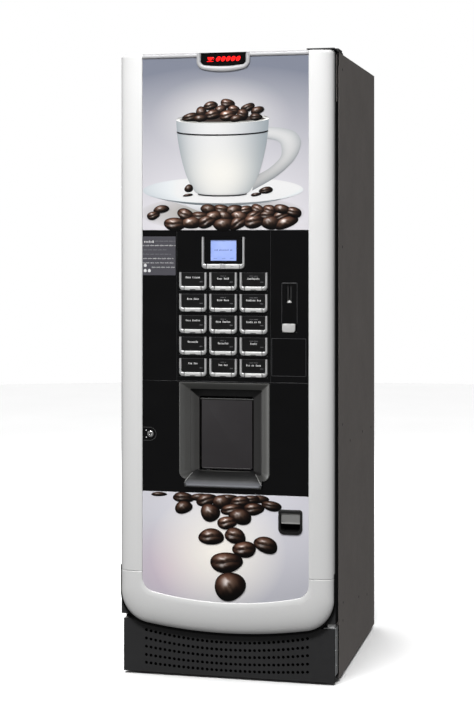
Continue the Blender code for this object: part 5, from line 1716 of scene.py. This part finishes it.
def cabinet_shell():
    """Riveted sides, top, screwed back with its inlets, and the base."""
    for name, side in (("left_side_panel", -1), ("right_side_panel", 1)):
        outer = PANEL_X[1] - RIVET_PROUD

        def settle(bm):
            """Leave room for the rivet heads inside the cabinet's width."""
            for vert in bm.verts:
                vert.co.x = max(-outer, min(outer, vert.co.x))

        refined(name, "side_paint", 0.0006, tune=settle)
        rivets = Form("rivet")
        for y, z in RIVETS:
            face = side * outer
            profile = [(radius, face + side * proud) for radius, proud in RIVET_HEAD]
            rivets.turned((y, z), profile, 20, "X")
        rivets.place(f"{name}_rivets", name, sharp=60)
    refined("top_panel", "side_paint", 0.0005)
    top = Form("steel")
    for x in (-0.270, 0.0, 0.200):
        top.screw((x, 0.330, 1.6935), "Z", 1, 0.0028)
    top.place("top_panel_screws", "top_panel")
    refined("back_panel", "zinc", 0.0005)
    back = Form("steel")
    face = box_of("back_panel")[1][1] - 0.0035
    for x in (-0.285, 0.0, 0.285):
        for z in (0.040, 0.450, 0.860, 1.270, 1.675):
            back.screw((x, z, face), "Y", 1, 0.0040)
    back.use("matt_black").prism(rounded((0.1825, 0.2175), (0.2025, 0.2255), 0.003), 0.3495, 0.3530)
    for x, z in ((0.193, 0.211), (0.207, 0.211), (0.200, 0.218)):
        back.use("bright_pin").box((x - 0.0010, x + 0.0010), (0.3530, 0.3600), (z - 0.0022, z + 0.0022))
    back.use("black_paint").turned((0.110, 0.214), [(0, 0.3660), (0.0060, 0.3660), (0.0060, 0.3667),
                                                    (0, 0.3667)], 20, "Y")
    back.place("back_panel_fittings", "back_panel", sharp=40)
    refined("base_frame", "black_paint", 0.0005)


# ---------------------------------------------------------------- works inside the cabinet
WORKS = (
    ("equipment_panel", "zinc", 0.0004), ("coffee_grinder", "matt_black", 0.0010),
    ("brew_unit", "works_grey", 0.0020), ("boiler", "boiler", 0.0010), ("mixer_unit", "works_grey", 0.0012),
    ("waste_bucket", "matt_black", 0.0010), ("electronics_box", "zinc", 0.0004),
)


def works():
    """Machinery behind the door, seen when it stands open."""
    for node, finish, edge in WORKS:
        refined(node, finish, edge)
    for node in ("powder_canister_1", "powder_canister_2"):
        refined(node, "works_white", 0.0010)
        canister_fill(node)
    hopper()
    cup_stacks()
    small_works()


POWDER_LEVEL = 0.985


def canister_fill(node):
    """Rippled powder inside and a label without lettering."""
    (x0, x1), (y0, y1), (z0, _) = box_of(node)
    body_y = y0 + 0.045
    form = Form("powder")
    rows = []
    for y in np.linspace(body_y + 0.0035, y1 - 0.0035, 14):
        top = []
        for x in np.linspace(x0 + 0.0035, x1 - 0.0035, 12):
            ripple = 0.012 * math.sin(16 * x + 2) * math.cos(21 * y)
            top.append((x, y, POWDER_LEVEL + ripple + 0.004 * math.sin(70 * x + 60 * y)))
        rows.append([(x1 - 0.0035, y, z0 + 0.004), (x0 + 0.0035, y, z0 + 0.004)] + top)
    form.loft(rows)
    tint = "works_blue" if node.endswith("1") else "works_red"
    label = rounded((x0 + 0.018, x1 - 0.018), (0.900, 0.965), 0.004)
    form.use(tint).prism(label, body_y - 0.0010, body_y - 0.0002)
    form.place(f"{node}_fill", node, sharp=40)


def seed_body(form, centre, size, turn, lean):
    """One whole bean with its crease."""
    length, width = size
    rings = []
    for i in range(9):
        along = -math.cos(math.pi * i / 8)
        radius = max(0.06, math.sqrt(max(0.0, 1 - along * along)))
        ring = []
        for k in range(12):
            angle = math.tau * k / 12
            swell = radius * (0.72 if k == 3 else 1.0)
            p = Vector((along * length, math.cos(angle) * swell * width,
                        math.sin(angle) * swell * width * 0.72))
            p = Vector((p.x * math.cos(turn) - p.y * math.sin(turn),
                        p.x * math.sin(turn) + p.y * math.cos(turn), p.z))
            p = Vector((p.x, p.y * math.cos(lean) - p.z * math.sin(lean),
                        p.y * math.sin(lean) + p.z * math.cos(lean)))
            ring.append(Vector(centre) + p)
        rings.append(ring)
    form.loft(rings)


def hopper():
    """Clear hopper, its beans and the lid."""
    refined("bean_hopper", "amber", 0.0010)
    refined("hopper_lid", "matt_black", 0.0008)
    (x0, x1), (y0, y1), (z0, _) = box_of("bean_hopper")
    rng = np.random.default_rng(11)
    form = Form("roast")
    rows = []
    for inset, z in ((0.106, z0 + 0.008), (0.004, z0 + 0.092), (0.0038, z0 + 0.150)):
        rows.append([(u, v, z) for u, v in rounded((x0 + inset, x1 - inset),
                                                   (y0 + inset * 1.12, y1 - inset * 1.12), 0.002, 2)])
    form.loft(rows)
    for i in range(15):
        for j in range(16):
            centre = (x0 + 0.014 + (x1 - x0 - 0.028) * i / 14 + rng.uniform(-0.003, 0.003),
                      y0 + 0.014 + (y1 - y0 - 0.028) * j / 15 + rng.uniform(-0.003, 0.003),
                      z0 + 0.154 + rng.uniform(-0.003, 0.004))
            seed_body(form, centre, (0.0075, 0.0052), rng.uniform(0, math.pi), rng.uniform(-0.6, 0.6))
    form.place("hopper_beans", "bean_hopper", sharp=60)


def cup_stacks():
    """Turntable with its spindle and five stacks of nested cups."""
    (x0, x1), (y0, y1), (z0, z1) = box_of("cup_carousel")
    middle = ((x0 + x1) / 2, (y0 + y1) / 2)
    radius = (x1 - x0) / 2
    form = Form("works_grey")
    profile = [(0, z0), (0.020, z0), (0.020, z0 + 0.0057), (radius - 0.001, z0 + 0.0057), (radius, z0 + 0.0067),
               (radius, z0 + 0.0107), (radius - 0.001, z0 + 0.0117), (0.012, z0 + 0.0117), (0.012, z1 - 0.006),
               (radius - 0.001, z1 - 0.006), (radius, z1 - 0.005), (radius, z1 - 0.001), (radius - 0.001, z1),
               (0, z1)]
    form.turned(middle, profile, 64)
    low, high = z0 + 0.0120, z1 - 0.0064
    cups = 62
    for stack in range(5):
        angle = math.tau * stack / 5
        centre = (middle[0] + 0.070 * math.cos(angle), middle[1] + 0.070 * math.sin(angle))
        profile = [(0, low)]
        pitch = (high - low) / cups
        for i in range(cups):
            z = low + pitch * i
            profile += [(0.0335, z + pitch * 0.05), (0.0340, z + pitch * 0.55), (0.0355, z + pitch * 0.62),
                        (0.0355, z + pitch * 0.95)]
        profile.append((0, high))
        form.use("cup_paper").turned(centre, profile, 28)
    form.place("cup_turntable", "cup_carousel", ("cup_carousel",), sharp=40)


def small_works():
    """Hoses, pipe, wiring and fittings."""
    hoses = Form("hose")
    for start, end in ((-0.205, -0.030), (-0.075, 0.010)):
        points = []
        for t in np.linspace(0, 1, 18):
            points.append((start + (end - start) * t, -0.080 - 0.100 * math.sin(math.pi / 2 * t),
                           0.6535 - 0.050 * math.sin(math.pi * t) + 0.150 * t * t))
        hoses.tube(points, 0.0055, 12)
    hoses.place("mixer_hoses", "mixer_unit", sharp=60)
    pipes = Form("copper")
    points = [(-0.150 + 0.090 * t, 0.287, 1.000 + 0.040 * math.sin(math.pi * t)) for t in np.linspace(0, 1,
                                                                                                      12)]
    points += [(-0.060, 0.287, 1.000 - 0.200 * t) for t in np.linspace(0.1, 1, 10)]
    pipes.tube(points, 0.0040, 12)
    for colour, x, y in (("works_red", -0.192, 0.300), ("works_blue", -0.110, 0.320)):
        pipes.use(colour).tube([(x, y, v) for v in np.linspace(0.740, 0.900, 6)], 0.0016, 8)
    pipes.place("boiler_pipes", "boiler", sharp=60)
    fittings = Form("steel")
    for x in (0.085, 0.215):
        for z in (0.665, 0.875):
            fittings.screw((x, z, 0.010), "Y", -1, 0.0045)
    fittings.use("works_red").pad(rounded((0.190, 0.225), (0.690, 0.712), 0.004), 0.0040, 0.0098, 0.0015)
    fittings.use("works_blue").turned((0.150, 0.770), [(0, 0.0020), (0.016, 0.0020), (0.018, 0.0036),
                                                       (0.018, 0.0098), (0, 0.0098)],
                                      32, "Y")
    fittings.place("brew_unit_fittings", "brew_unit", sharp=40)
    board = Form("board_green")
    board.box((0.120, 0.280), (0.1940, 0.1956), (0.260, 0.540))
    for k in range(6):
        board.use("matt_black").box((0.140 + 0.020 * k, 0.152 + 0.020 * k), (0.1820, 0.1940), (0.420, 0.450))
    board.place("control_board", "electronics_box", edge=0.0004)


# ---------------------------------------------------------------- assembly
def build():
    mouldings()
    top_rail()
    backdrops()
    pictures()
    fascias()
    keypad()
    display()
    fascia_prints()
    delivery_bezel()
    delivery_flap()
    coin_entry()
    coin_return()
    lock()
    cup_place()
    kick_plate()
    door_body()
    hinges()
    cabinet_shell()
    works()


build()
